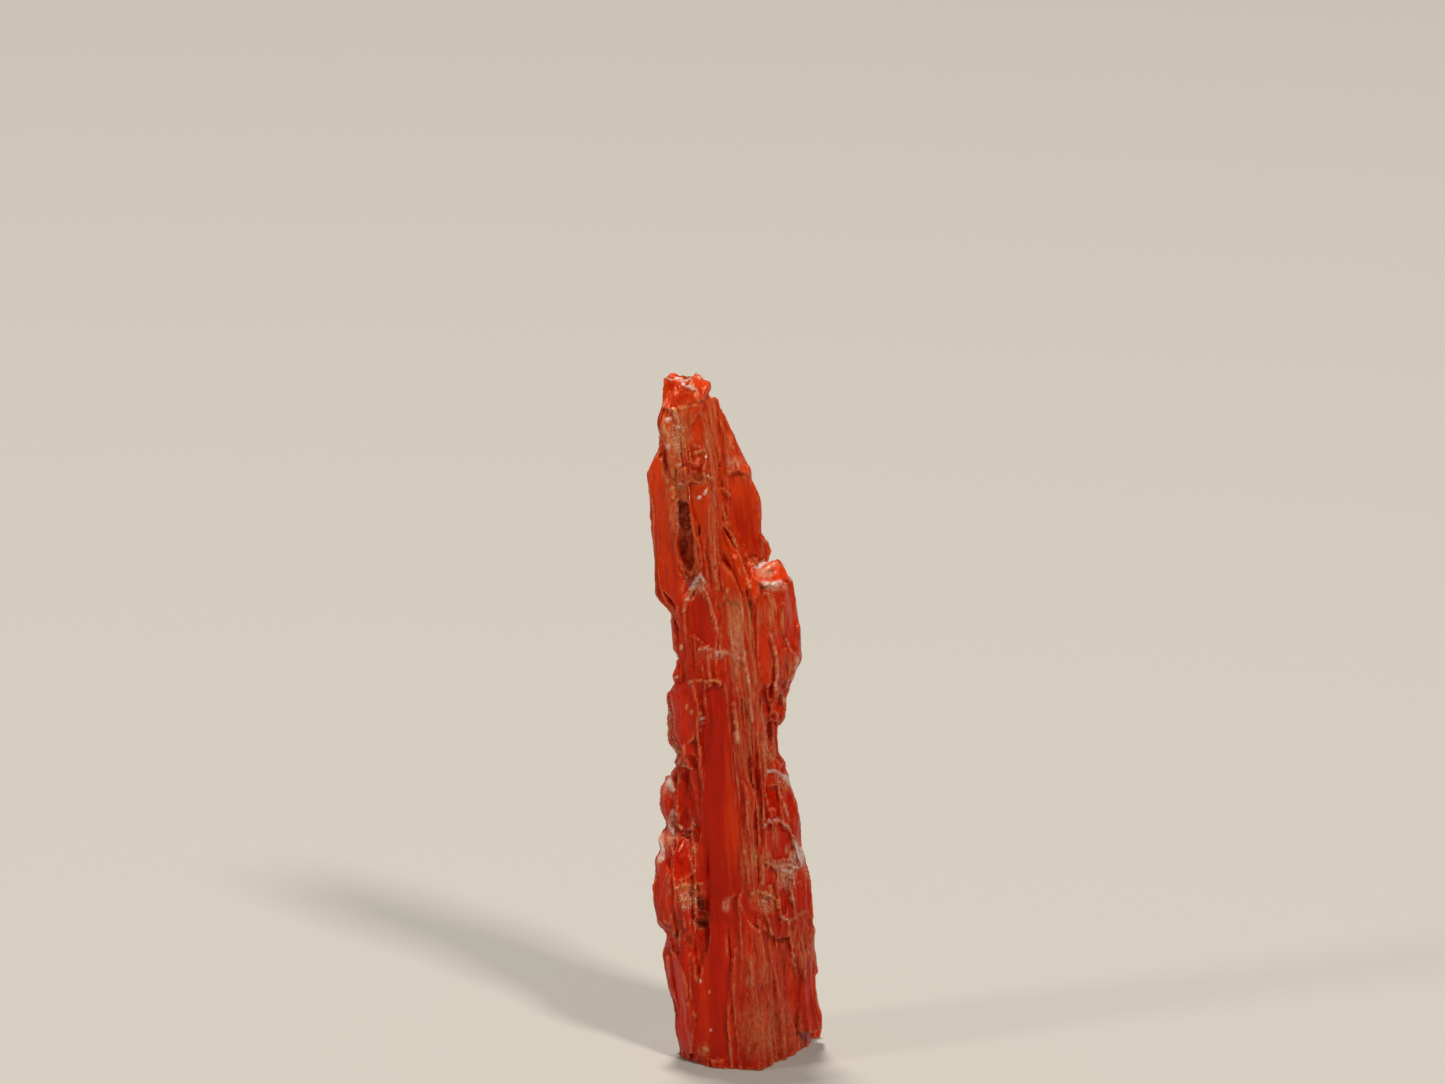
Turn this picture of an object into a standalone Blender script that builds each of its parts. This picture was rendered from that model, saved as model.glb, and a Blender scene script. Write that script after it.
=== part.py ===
"""A single crocoite crystal: one upright prism of many parallel growth columns, broken off flat at its foot.

The column axis leans a little to the left, as on the specimen. Front is -Y, up is +Z, and the origin is on
the flat foot. The sizes in the tables are in millimetres and become metres through MM.
"""

import random

import bmesh
import bpy
from mathutils import Vector

MM = 0.001

# Driving dimensions, in millimetres
FOOT_DEPTH = 0.6
CORNER_WOBBLE = 0.08
RING_WOBBLE = 0.035
RIB_HALF_WIDTH = 0.15
RIB_HALF_DEPTH = 0.10
CRUMB_HALF_WIDTH = 0.15
CRUMB_HEIGHT = 0.55
STRANDS_A_BLADE = 5
STRAND_INSET = 0.74
STRAND_SIZE = 0.34

CROCOITE_RED = (0.62, 0.055, 0.012, 1.0)
CROCOITE_ROUGHNESS = 0.28

# Plans are corners as shares of a column's half width and half depth, going round anticlockwise from above.
STEM_PLAN = (
    (-1.00, -0.40),
    (-0.67, -0.83),
    (0.11, -1.00),
    (0.58, -0.30),
    (0.98, 0.66),
    (0.55, 1.00),
    (-0.45, 0.96),
    (-0.96, 0.32),
)
BLADE_PLAN = ((-1.0, -0.25), (-0.35, -0.95), (0.55, -0.90), (1.0, 0.15), (0.45, 0.95), (-0.6, 0.85))
SLAB_PLAN = ((-1.0, 0.10), (-0.82, -0.50), (-0.15, -0.88), (0.85, -1.0), (1.0, 0.70), (-0.50, 0.95))
LOZENGE_PLAN = ((-1.0, 0.05), (0.08, -1.0), (1.0, -0.05), (-0.05, 1.0))

# These blades stand in front of the hollows, so they are joined on after the hollows are cut.
JOINED_LAST = ("flame_blade", "flame_blade_small")

# The rings of a column: height, centre x, centre y, half width, half depth. A slab has its thin edge on the
# left, or on the right where its half width is negative.
STEM = (
    (-FOOT_DEPTH, 0.13, 0.38, 2.20, 2.10),
    (2.1, 0.01, 0.37, 2.07, 1.98),
    (4.5, -0.15, 0.30, 1.74, 1.80),
    (6.8, -0.30, 0.20, 1.50, 1.65),
    (9.6, -0.60, 0.10, 1.42, 1.50),
    (12.1, -0.80, 0.05, 1.32, 1.40),
    (14.3, -0.98, 0.05, 1.16, 1.18),
    (15.9, -1.20, 0.05, 0.98, 1.00),
)

# name, plan, slope of the top face in x and in y, rings
BLADES = (
    ("left_foot_blade", SLAB_PLAN, (0.5, 0.1), (
        (0.3, -1.72, -0.35, 0.42, 0.75), (1.3, -1.80, -0.35, 0.46, 0.85), (2.2, -1.95, -0.35, 0.54, 0.90),
        (3.3, -2.02, -0.35, 0.58, 0.88), (4.2, -1.90, -0.30, 0.50, 0.80))),
    ("left_low_blade", SLAB_PLAN, (0.5, 0.3), (
        (3.7, -2.05, -0.35, 0.50, 0.80), (4.2, -2.15, -0.38, 0.68, 1.00), (5.1, -2.18, -0.42, 0.74, 1.08),
        (5.9, -2.15, -0.42, 0.73, 1.05), (6.6, -2.05, -0.38, 0.62, 1.00), (7.4, -1.95, -0.30, 0.64, 0.85))),
    ("left_knob", SLAB_PLAN, (0.6, 0.0), (
        (7.2, -2.00, 0.00, 0.50, 0.70), (7.9, -2.14, 0.00, 0.54, 0.80),
        (8.5, -2.14, 0.00, 0.52, 0.75), (9.2, -1.95, 0.00, 0.38, 0.60))),
    ("left_middle_blade", SLAB_PLAN, (0.6, 0.2), (
        (9.3, -1.85, -0.30, 0.45, 0.70), (9.8, -1.94, -0.35, 0.52, 0.85), (10.7, -1.94, -0.38, 0.54, 0.90),
        (11.5, -1.94, -0.38, 0.53, 0.90), (12.1, -1.88, -0.30, 0.38, 0.80))),
    ("upper_left_blade", SLAB_PLAN, (0.8, 0.1), (
        (12.1, -1.75, -0.20, 0.45, 0.60), (12.9, -1.80, -0.22, 0.50, 0.70), (13.6, -1.90, -0.25, 0.54, 0.72),
        (14.3, -2.18, -0.25, 0.60, 0.70), (15.1, -2.28, -0.22, 0.63, 0.66), (16.0, -2.36, -0.20, 0.60, 0.62),
        (17.1, -2.40, -0.15, 0.61, 0.58), (17.9, -2.50, -0.10, 0.62, 0.55), (18.4, -2.45, -0.10, 0.60, 0.50),
        (18.9, -2.35, -0.05, 0.50, 0.45), (19.6, -2.25, 0.00, 0.40, 0.36))),
    ("top_ridge", BLADE_PLAN, (-0.04, 0.20), (
        (12.2, -1.00, -0.40, 0.66, 0.70), (14.5, -1.12, -0.45, 0.70, 0.76), (16.0, -1.30, -0.50, 0.62, 0.78),
        (17.5, -1.45, -0.45, 0.66, 0.74), (18.8, -1.72, -0.35, 0.82, 0.72), (19.8, -1.88, -0.20, 0.84, 0.66),
        (20.8, -1.94, -0.12, 0.74, 0.58), (21.18, -1.93, -0.06, 0.64, 0.50))),
    ("top_ridge_back", BLADE_PLAN, (0.1, -0.5), (
        (13.6, -1.25, 0.50, 0.80, 0.75), (16.2, -1.45, 0.52, 0.82, 0.70),
        (18.4, -1.70, 0.45, 0.66, 0.55), (20.0, -1.82, 0.35, 0.50, 0.42))),
    ("upper_right_blade", BLADE_PLAN, (-0.5, 0.0), (
        (14.2, -0.35, 0.35, 0.88, 0.62), (15.5, -0.30, 0.42, 0.90, 0.58), (15.95, -0.30, 0.42, 0.92, 0.56),
        (16.3, -0.42, 0.42, 0.82, 0.54), (17.2, -0.44, 0.42, 0.80, 0.50), (17.6, -0.50, 0.42, 0.84, 0.50),
        (18.2, -0.65, 0.40, 0.82, 0.48), (18.5, -0.75, 0.38, 0.68, 0.46), (19.0, -0.92, 0.35, 0.66, 0.44),
        (19.6, -1.15, 0.30, 0.60, 0.40), (20.0, -1.28, 0.28, 0.54, 0.36), (20.5, -1.45, 0.20, 0.48, 0.32),
        (20.75, -1.55, 0.15, 0.32, 0.26))),
    ("flame_blade", LOZENGE_PLAN, (-0.6, 0.0), (
        (12.6, -0.26, -0.50, 0.46, 0.50), (14.4, -0.26, -0.56, 0.48, 0.52), (15.0, -0.36, -0.58, 0.44, 0.48),
        (15.5, -0.48, -0.60, 0.38, 0.44), (16.0, -0.62, -0.60, 0.30, 0.38), (16.5, -0.76, -0.58, 0.18, 0.28),
        (16.95, -0.85, -0.56, 0.06, 0.14))),
    ("flame_blade_small", LOZENGE_PLAN, (-0.6, 0.0), (
        (12.5, 0.22, -0.36, 0.40, 0.46), (14.6, 0.20, -0.50, 0.44, 0.50),
        (15.2, 0.12, -0.50, 0.34, 0.38), (15.7, 0.04, -0.46, 0.16, 0.18))),
    ("right_shoulder", SLAB_PLAN, (-0.25, 0.1), (
        (10.6, 0.45, 0.00, -0.45, 0.50), (11.3, 0.55, -0.10, -0.56, 0.66), (12.0, 0.72, -0.15, -0.72, 0.84),
        (12.9, 0.80, -0.20, -0.79, 0.90), (13.5, 0.76, -0.20, -0.75, 0.90), (14.4, 0.74, -0.20, -0.72, 0.86),
        (15.0, 0.64, -0.15, -0.66, 0.74), (15.45, 0.48, -0.10, -0.54, 0.55))),
    ("shoulder_core", BLADE_PLAN, (-0.4, 0.1), (
        (11.2, 0.05, 0.05, 0.42, 0.55), (12.0, 0.02, 0.05, 0.52, 0.60), (14.4, 0.00, 0.02, 0.52, 0.58))),
    ("shoulder_wedge", LOZENGE_PLAN, (-0.5, 0.3), (
        (11.2, 0.52, -0.62, 0.06, 0.12), (12.0, 0.40, -0.72, 0.22, 0.34),
        (13.1, 0.33, -0.72, 0.24, 0.34), (13.6, 0.28, -0.62, 0.14, 0.20))),
    ("neck_knob", BLADE_PLAN, (0.0, 0.0), (
        (10.3, 0.80, 0.10, 0.14, 0.26), (10.9, 0.92, 0.10, 0.22, 0.36), (11.6, 0.88, 0.12, 0.24, 0.36))),
    ("right_upper_slab", SLAB_PLAN, (-0.5, 0.2), (
        (6.2, 0.85, 0.20, -0.75, 0.80), (7.2, 0.80, 0.20, -0.70, 0.85), (8.0, 0.72, 0.15, -0.68, 0.85),
        (8.9, 0.58, 0.15, -0.62, 0.75), (9.7, 0.40, 0.10, -0.48, 0.60))),
    ("right_middle_slab", SLAB_PLAN, (-0.4, 0.3), (
        (3.4, 1.20, 0.35, -0.74, 0.85), (4.4, 1.20, 0.30, -0.74, 0.95), (5.4, 1.13, 0.25, -0.70, 0.98),
        (6.2, 1.06, 0.22, -0.66, 0.95), (6.9, 0.98, 0.20, -0.54, 0.85))),
    ("right_low_slab", SLAB_PLAN, (-0.3, 0.2), (
        (0.6, 1.50, 0.80, -0.74, 0.90), (2.0, 1.44, 0.70, -0.66, 0.95),
        (3.2, 1.35, 0.50, -0.66, 0.90), (4.0, 1.28, 0.40, -0.58, 0.80))),
    ("right_front_sheet", SLAB_PLAN, (-0.6, 0.4), (
        (3.9, 0.95, -0.42, -0.30, 0.34), (4.8, 0.72, -0.52, -0.48, 0.42),
        (6.6, 0.55, -0.55, -0.46, 0.40), (8.6, 0.34, -0.52, -0.38, 0.34))),
    ("back_left_blade", SLAB_PLAN, (0.3, -0.4), (
        (-FOOT_DEPTH, -1.25, 1.35, 0.70, 0.70), (2.8, -1.30, 1.30, 0.72, 0.68),
        (5.6, -1.35, 1.10, 0.62, 0.62), (7.6, -1.40, 0.95, 0.42, 0.45))),
    ("back_blade", BLADE_PLAN, (0.1, -0.6), (
        (1.4, 0.35, 1.70, 0.60, 0.60), (4.2, 0.10, 1.65, 0.80, 0.62), (7.4, -0.15, 1.40, 0.78, 0.58),
        (10.2, -0.40, 1.18, 0.66, 0.52), (12.2, -0.60, 1.02, 0.46, 0.42))),
    ("back_shoulder", SLAB_PLAN, (-0.2, -0.5), (
        (10.6, -1.40, 0.80, 0.45, 0.45), (12.0, -1.50, 0.80, 0.62, 0.62),
        (14.0, -1.57, 0.72, 0.62, 0.58), (15.6, -1.62, 0.60, 0.44, 0.40))),
    ("back_right_blade", SLAB_PLAN, (-0.4, -0.3), (
        (7.0, 0.50, 0.85, -0.34, 0.45), (8.8, 0.38, 0.85, -0.52, 0.58),
        (11.6, 0.18, 0.80, -0.56, 0.56), (13.8, 0.02, 0.72, -0.50, 0.46), (14.7, -0.08, 0.65, -0.30, 0.30))),
    ("shoulder_web", BLADE_PLAN, (-0.4, 0.3), (
        (7.8, 0.22, -0.42, 0.30, 0.46), (9.4, 0.16, -0.42, 0.42, 0.52), (11.0, 0.04, -0.45, 0.46, 0.56),
        (12.6, -0.06, -0.47, 0.46, 0.56), (14.2, -0.12, -0.45, 0.42, 0.50), (14.9, -0.15, -0.42, 0.30, 0.40))),
)

# name, seed, count, then the face that they stand on: height, first x and y, last x and y, low and high;
# and the shares of that face's height between which a rib's foot and top fall
RIB_FACES = (
    ("right_front_low", 11, 9, (0.0, 0.45, -1.62, 1.45, 0.15), (7.0, -0.05, -1.36, 0.98, 0.15), 0.0, 0.75),
    ("right_front_high", 12, 9, (3.2, 0.10, -1.50, 1.30, 0.25), (10.0, -0.30, -1.30, 0.78, 0.05), 0.0, 1.0),
    ("right_middle", 13, 7, (8.5, -0.25, -1.36, 0.60, -0.10), (14.3, -0.80, -1.06, -0.10, -0.35), 0.0, 1.0),
    ("front_low", 14, 6, (0.0, -0.55, -1.62, 0.35, -1.68), (5.0, -0.50, -1.42, -0.05, -1.46), 0.0, 0.9),
    ("shoulder", 15, 6, (11.9, 0.25, -1.00, 1.30, -0.74), (15.2, 0.20, -0.92, 1.10, -0.60), 0.0, 1.0),
    ("back_left", 16, 7, (0.0, -1.85, 1.10, -0.80, 2.05), (8.5, -1.70, 0.65, -0.95, 1.55), 0.0, 1.0),
    ("back", 17, 8, (0.0, -0.60, 2.28, 1.10, 2.38), (9.8, -1.00, 1.50, -0.05, 1.66), 0.0, 1.0),
    ("back_high", 18, 6, (8.8, -1.50, 1.25, -0.20, 1.48), (16.2, -1.85, 0.92, -0.95, 1.12), 0.0, 1.0),
    ("right_back", 19, 6, (0.0, 2.10, 1.50, 1.35, 2.30), (9.0, 0.85, 0.90, 0.35, 1.55), 0.0, 1.0),
    ("left_side", 20, 5, (0.0, -2.02, -0.20, -1.98, 0.90), (4.0, -1.85, -0.20, -1.80, 0.85), 0.0, 1.0),
)

# Broken ledges and crumbs of crystal along a line: name, seed, count, first point, last point, spread
CRUMB_LINES = (
    ("left_low_edge", 31, 8, (-2.62, -0.45, 4.3), (-2.40, -0.45, 7.3), 0.10),
    ("left_front_crust", 32, 9, (-2.00, -1.15, 4.2), (-1.45, -1.22, 5.9), 0.16),
    ("left_low_top", 33, 6, (-2.30, -0.70, 6.4), (-1.60, -1.00, 7.6), 0.12),
    ("left_knob_edge", 34, 5, (-2.45, -0.25, 7.6), (-2.10, -0.30, 9.2), 0.10),
    ("middle_front_crust", 35, 10, (-2.05, -0.98, 11.0), (-1.10, -1.12, 12.8), 0.18),
    ("middle_left_edge", 36, 6, (-2.15, -0.50, 9.6), (-2.10, -0.45, 12.6), 0.10),
    ("groove_crumbs", 37, 9, (-1.95, -0.75, 14.6), (-2.15, -0.50, 18.8), 0.14),
    ("ridge_ledges", 38, 9, (-1.45, -1.08, 15.2), (-1.75, -0.85, 19.8), 0.16),
    ("top_rim", 39, 6, (-2.35, -0.35, 20.5), (-1.50, -0.40, 20.7), 0.10),
    ("upper_right_edge", 40, 10, (0.30, 0.30, 16.0), (-1.05, 0.25, 19.9), 0.10),
    ("shoulder_top", 41, 7, (0.30, -0.50, 14.9), (1.00, -0.30, 14.8), 0.12),
    ("shoulder_edge", 42, 6, (1.25, -0.30, 14.4), (0.95, -0.20, 11.5), 0.08),
    ("right_ledges", 43, 10, (0.55, -0.62, 7.3), (1.40, 0.05, 5.9), 0.16),
    ("right_upper_edge", 44, 6, (1.10, 0.05, 8.6), (1.45, 0.15, 5.0), 0.10),
    ("right_panes", 45, 7, (1.00, -0.45, 5.0), (1.50, 0.15, 4.2), 0.14),
    ("overgrowth_end", 56, 6, (0.12, -1.17, 5.3), (0.90, -0.52, 3.7), 0.08),
    ("back_crust", 47, 8, (-0.10, 2.05, 5.2), (-0.45, 1.60, 9.6), 0.18),
    ("back_high_crust", 48, 6, (-1.75, 1.10, 12.0), (-1.50, 1.05, 16.0), 0.14),
)


def clear_scene():
    for thing in list(bpy.data.objects):
        bpy.data.objects.remove(thing)


def new_collection(name):
    made = bpy.data.collections.new(name)
    bpy.context.scene.collection.children.link(made)
    return made


def crocoite():
    material = bpy.data.materials.new("crocoite")
    material.use_nodes = True
    shader = material.node_tree.nodes["Principled BSDF"]
    shader.inputs["Base Color"].default_value = CROCOITE_RED
    shader.inputs["Roughness"].default_value = CROCOITE_ROUGHNESS
    return material


def helper(obj):
    obj.hide_render = True
    obj.display_type = "WIRE"
    return obj


def column(name, plan, rings, seed, top_slope=(0.0, 0.0)):
    """A prism through its rings: the foot polygon, extruded from ring to ring."""
    chance = random.Random(seed)

    def wobble(most):
        return chance.uniform(-most, most)

    corners = [(x + wobble(CORNER_WOBBLE), y + wobble(CORNER_WOBBLE)) for x, y in plan]

    def place(verts, ring, slope):
        height, x, y, half_x, half_y = ring
        for vert, (share_x, share_y) in zip(verts, corners):
            dx = share_x * half_x + wobble(RING_WOBBLE)
            dy = share_y * half_y + wobble(RING_WOBBLE)
            vert.co = Vector((x + dx, y + dy, height + dx * slope[0] + dy * slope[1])) * MM

    shape = bmesh.new()
    bmesh.ops.create_circle(shape, cap_ends=True, segments=len(plan), radius=1.0)
    cap = shape.faces[:][0]
    place(cap.verts, rings[0], (0.0, 0.0))
    for index, ring in enumerate(rings[1:]):
        made = bmesh.ops.extrude_face_region(shape, geom=[cap])["geom"]
        if index:
            bmesh.ops.delete(shape, geom=[cap], context="FACES_ONLY")
        cap = next(item for item in made if isinstance(item, bmesh.types.BMFace))
        place(cap.verts, ring, top_slope if ring is rings[-1] else (0.0, 0.0))
    bmesh.ops.recalc_face_normals(shape, faces=shape.faces)
    mesh = bpy.data.meshes.new(name)
    shape.to_mesh(mesh)
    shape.free()
    return bpy.data.objects.new(name, mesh)


def between(a, b, share):
    return a + (b - a) * share


def ring_at(rings, height):
    """The ring of a column at any height between its foot and its top."""
    for low, high in zip(rings, rings[1:]):
        if height <= high[0]:
            break
    share = (height - low[0]) / (high[0] - low[0])
    return tuple(between(a, b, share) for a, b in zip(low, high))


def strands(name, plan, rings, seed):
    """Narrow columns round a blade's sides, each with its own foot and top, so that its ends are ragged."""
    chance = random.Random(seed)
    foot, top = rings[0][0], rings[-1][0]
    made = []
    for index in range(STRANDS_A_BLADE):
        corner = (index + chance.uniform(0.0, 0.9)) * len(plan) / STRANDS_A_BLADE
        first = plan[int(corner) % len(plan)]
        second = plan[(int(corner) + 1) % len(plan)]
        share_x, share_y = (between(a, b, corner % 1.0) * STRAND_INSET for a, b in zip(first, second))
        start = between(foot, top, chance.uniform(0.02, 0.50))
        end = between(start, top, chance.uniform(0.55, 0.97))
        strand = []
        for along, size in ((0.0, 0.5), (0.15, 1.0), (0.85, 1.0), (1.0, 0.5)):
            height, x, y, half_x, half_y = ring_at(rings, between(start, end, along))
            wide = abs(half_x) * STRAND_SIZE * size
            deep = half_y * STRAND_SIZE * size
            strand.append((height, x + share_x * half_x, y + share_y * half_y, wide, deep))
        slope = (chance.uniform(-0.6, 0.6), chance.uniform(-0.3, 0.8))
        made.append(column(f"strand_{name}_{index}", LOZENGE_PLAN, strand, chance.random(), slope))
    return made


def ribs(name, seed, count, low, high, first_share, last_share):
    """Thin lozenge columns side by side across a face, each with its own foot and top."""
    chance = random.Random(seed)
    made = []
    for index in range(count):
        across = (index + 0.5 + chance.uniform(-0.25, 0.25)) / count
        start = between(first_share, last_share, chance.uniform(0.0, 0.45))
        end = between(first_share, last_share, chance.uniform(0.55, 1.0))
        half_x = RIB_HALF_WIDTH * chance.uniform(0.7, 1.3)
        half_y = RIB_HALF_DEPTH * chance.uniform(0.7, 1.2)
        rings = []
        for along, size in ((0.0, 0.45), (0.12, 1.0), (0.85, 1.0), (1.0, 0.35)):
            share = between(start, end, along)
            x = between(between(low[1], low[3], across), between(high[1], high[3], across), share)
            y = between(between(low[2], low[4], across), between(high[2], high[4], across), share)
            rings.append((between(low[0], high[0], share), x, y, half_x * size, half_y * size))
        made.append(column(f"rib_{name}_{index}", LOZENGE_PLAN, rings, chance.random()))
    return made


def crumbs(name, seed, count, first, last, spread):
    """Short slanted columns along a line, sunk into the crystal behind it."""
    chance = random.Random(seed)
    made = []
    for index in range(count):
        share = (index + chance.uniform(0.2, 0.8)) / count
        x, y, z = (between(a, b, share) + chance.uniform(-spread, spread) for a, b in zip(first, last))
        half_x = CRUMB_HALF_WIDTH * chance.uniform(0.6, 1.5)
        half_y = CRUMB_HALF_WIDTH * chance.uniform(0.9, 1.6)
        height = CRUMB_HEIGHT * chance.uniform(0.5, 1.6)
        rings = (
            (z - height * 0.5, x, y, half_x * 0.5, half_y * 0.6),
            (z - height * 0.2, x, y, half_x, half_y),
            (z + height * 0.5, x, y, half_x * 0.8, half_y * 0.8),
        )
        slope = (chance.uniform(-0.9, 0.9), chance.uniform(0.2, 0.9))
        made.append(column(f"crumb_{name}_{index}", LOZENGE_PLAN, rings, chance.random(), slope))
    return made


def pit(name, centre, radii, turn=(0.0, 0.0, 0.0)):
    bpy.ops.mesh.primitive_ico_sphere_add(
        subdivisions=2, radius=MM, location=[size * MM for size in centre], rotation=turn
    )
    made = bpy.context.object
    made.name = name
    made.scale = radii
    bpy.ops.object.transform_apply(location=False, rotation=False, scale=True)
    return made


def block(name, centre, sides, turn=(0.0, 0.0, 0.0)):
    bpy.ops.mesh.primitive_cube_add(size=MM, location=[size * MM for size in centre], rotation=turn)
    made = bpy.context.object
    made.name = name
    made.scale = sides
    bpy.ops.object.transform_apply(location=False, rotation=False, scale=True)
    return made


def cutters():
    """What is missing from the columns: the ground below the foot, the groove, hollows, pits and chips."""
    return [
        block("below_foot", (0.0, 0.0, -2.0), (12.0, 12.0, 4.0)),
        pit("recess_upper_right", (-0.27, -0.45, 17.2), (0.56, 0.62, 1.55), (0.0, -0.12, 0.35)),
        pit("groove_upper", (-2.02, -0.95, 17.3), (0.20, 0.55, 1.35), (0.0, -0.08, 0.0)),
        pit("groove_deep", (-1.98, -0.80, 16.1), (0.24, 0.62, 0.80)),
        pit("pocket_top", (-1.52, -1.10, 19.2), (0.26, 0.36, 0.55)),
        pit("round_pit", (-1.47, -1.42, 4.65), (0.17, 0.30, 0.17)),
        pit("hollow_lower_right", (1.05, -0.85, 7.0), (0.34, 0.34, 0.85), (0.0, -0.1, 0.9)),
        pit("hollow_shoulder_foot", (0.95, -0.60, 11.1), (0.26, 0.45, 0.40)),
    ]


def shells(shape):
    """The closed surfaces of a mesh, each as a list of faces, largest first."""
    left = set(shape.faces)
    found = []
    while left:
        shell = [left.pop()]
        for face in shell:
            for edge in face.edges:
                for beside in edge.link_faces:
                    if beside in left:
                        left.remove(beside)
                        shell.append(beside)
        found.append(shell)
    return sorted(found, key=lambda shell: sum(face.calc_area() for face in shell), reverse=True)


def solid_mesh(obj):
    """The joined and cut mesh, with the sealed gaps between its columns filled."""
    graph = bpy.context.evaluated_depsgraph_get()
    mesh = bpy.data.meshes.new_from_object(obj.evaluated_get(graph))
    shape = bmesh.new()
    shape.from_mesh(mesh)
    for gap in shells(shape)[1:]:
        bmesh.ops.delete(shape, geom=gap, context="FACES")
    shape.to_mesh(mesh)
    shape.free()
    return mesh


def crystal(home):
    growth = new_collection("growth_columns")
    missing = new_collection("cutters")
    flames = new_collection("growth_columns_in_front")
    body = column("crocoite_crystal", STEM_PLAN, STEM, 1, (-0.1, 0.0))
    home.objects.link(body)
    for index, (name, plan, slope, rings) in enumerate(BLADES):
        group = flames if name in JOINED_LAST else growth
        group.objects.link(helper(column(name, plan, rings, 100 + index, slope)))
        for strand in strands(name, plan, rings, 300 + index):
            group.objects.link(helper(strand))
    for scatter, rows in ((ribs, RIB_FACES), (crumbs, CRUMB_LINES)):
        for row in rows:
            for piece in scatter(*row):
                growth.objects.link(helper(piece))
    for cutter in cutters():
        for group in list(cutter.users_collection):
            group.objects.unlink(cutter)
        missing.objects.link(helper(cutter))
    # EXACT leaves edges that four faces share where so many thin columns cross; MANIFOLD closes them all.
    steps = (("join", growth, "UNION"), ("cut", missing, "DIFFERENCE"), ("join_last", flames, "UNION"))
    for name, group, operation in steps:
        step = body.modifiers.new(name, "BOOLEAN")
        step.operation = operation
        step.operand_type = "COLLECTION"
        step.collection = group
        step.solver = "MANIFOLD"
    solid = solid_mesh(body)
    body.modifiers.clear()
    body.data = solid
    solid.materials.clear()
    solid.materials.append(crocoite())


clear_scene()
crystal(new_collection("crocoite"))
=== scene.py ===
"""The looks of a single crocoite crystal, grown fine over its faceted solid, on a plain pale floor.

Lengths are in millimetres in the crystal's working mesh and in metres in the scene. Places on the front of
the crystal are given in pixels of the photograph's frame, 1445 wide and 1084 high, where a pixel is 0.03 mm.
"""

import math

import bpy
import numpy as np
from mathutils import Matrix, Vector
from mathutils.bvhtree import BVHTree

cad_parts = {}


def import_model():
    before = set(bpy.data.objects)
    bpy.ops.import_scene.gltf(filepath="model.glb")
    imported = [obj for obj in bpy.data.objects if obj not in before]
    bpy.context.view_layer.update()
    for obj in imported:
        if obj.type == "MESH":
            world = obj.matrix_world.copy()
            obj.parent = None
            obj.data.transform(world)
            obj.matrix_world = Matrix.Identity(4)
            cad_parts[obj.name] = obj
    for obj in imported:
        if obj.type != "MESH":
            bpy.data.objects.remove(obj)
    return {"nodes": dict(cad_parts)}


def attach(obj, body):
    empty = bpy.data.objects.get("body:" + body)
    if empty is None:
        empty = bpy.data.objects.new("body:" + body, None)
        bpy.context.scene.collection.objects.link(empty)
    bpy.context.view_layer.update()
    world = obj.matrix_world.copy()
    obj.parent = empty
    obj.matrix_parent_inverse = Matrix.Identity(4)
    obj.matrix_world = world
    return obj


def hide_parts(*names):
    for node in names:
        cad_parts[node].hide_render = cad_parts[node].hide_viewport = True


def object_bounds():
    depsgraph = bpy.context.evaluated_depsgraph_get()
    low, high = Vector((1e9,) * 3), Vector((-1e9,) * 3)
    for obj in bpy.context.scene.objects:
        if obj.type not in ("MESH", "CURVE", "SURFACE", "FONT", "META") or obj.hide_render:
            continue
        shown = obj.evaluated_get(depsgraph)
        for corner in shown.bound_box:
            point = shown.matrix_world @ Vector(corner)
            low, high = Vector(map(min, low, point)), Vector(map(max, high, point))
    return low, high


MM = 0.001
NODE = "crocoite_crystal"
PIECE = "crystal_surface"

# The working mesh: its grain in mm, how much taller the grain is than wide, and how close points are welded
VOXEL = 0.0524
GRAIN_HEIGHT = 1.4
WELD = 0.0001

# The crystal's lean towards -x for each mm up, and how far up its foot stays flat
LEAN = 0.09
FOOT_FLAT = 0.04

# How far the surface may pass the solid's box in mm, and how steep an edge has to be to stay sharp
BOX_MARGIN = 0.01
SHARP_ANGLE = math.radians(34)

# The view: the photograph's frame at the crystal, its camera and its long lens
FRAME_WIDTH = 43.35
FRAME_PIXELS = (1445, 1084)
LENS = 200.0
SENSOR = 36.0
CAMERA_ELEVATION = math.radians(14.5)
CAMERA_DISTANCE = LENS / SENSOR * FRAME_WIDTH
VIEW_CENTRE = (-0.825, 0.0, 16.12)
TO_CAMERA = np.array((0.0, -math.cos(CAMERA_ELEVATION), math.sin(CAMERA_ELEVATION)))
VIEW_UP = np.array((0.0, math.sin(CAMERA_ELEVATION), math.cos(CAMERA_ELEVATION)))

# How near and how far the camera sees, in metres
NEAREST_SEEN = 0.01
FARTHEST_SEEN = 20.0

# Rays: how far outside or inside the surface they start, and how far they run, in mm
OUTSIDE = 0.03
INSIDE = 0.01
CLEAR_WAY = 8.0
THICKEST = 6.0

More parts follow.
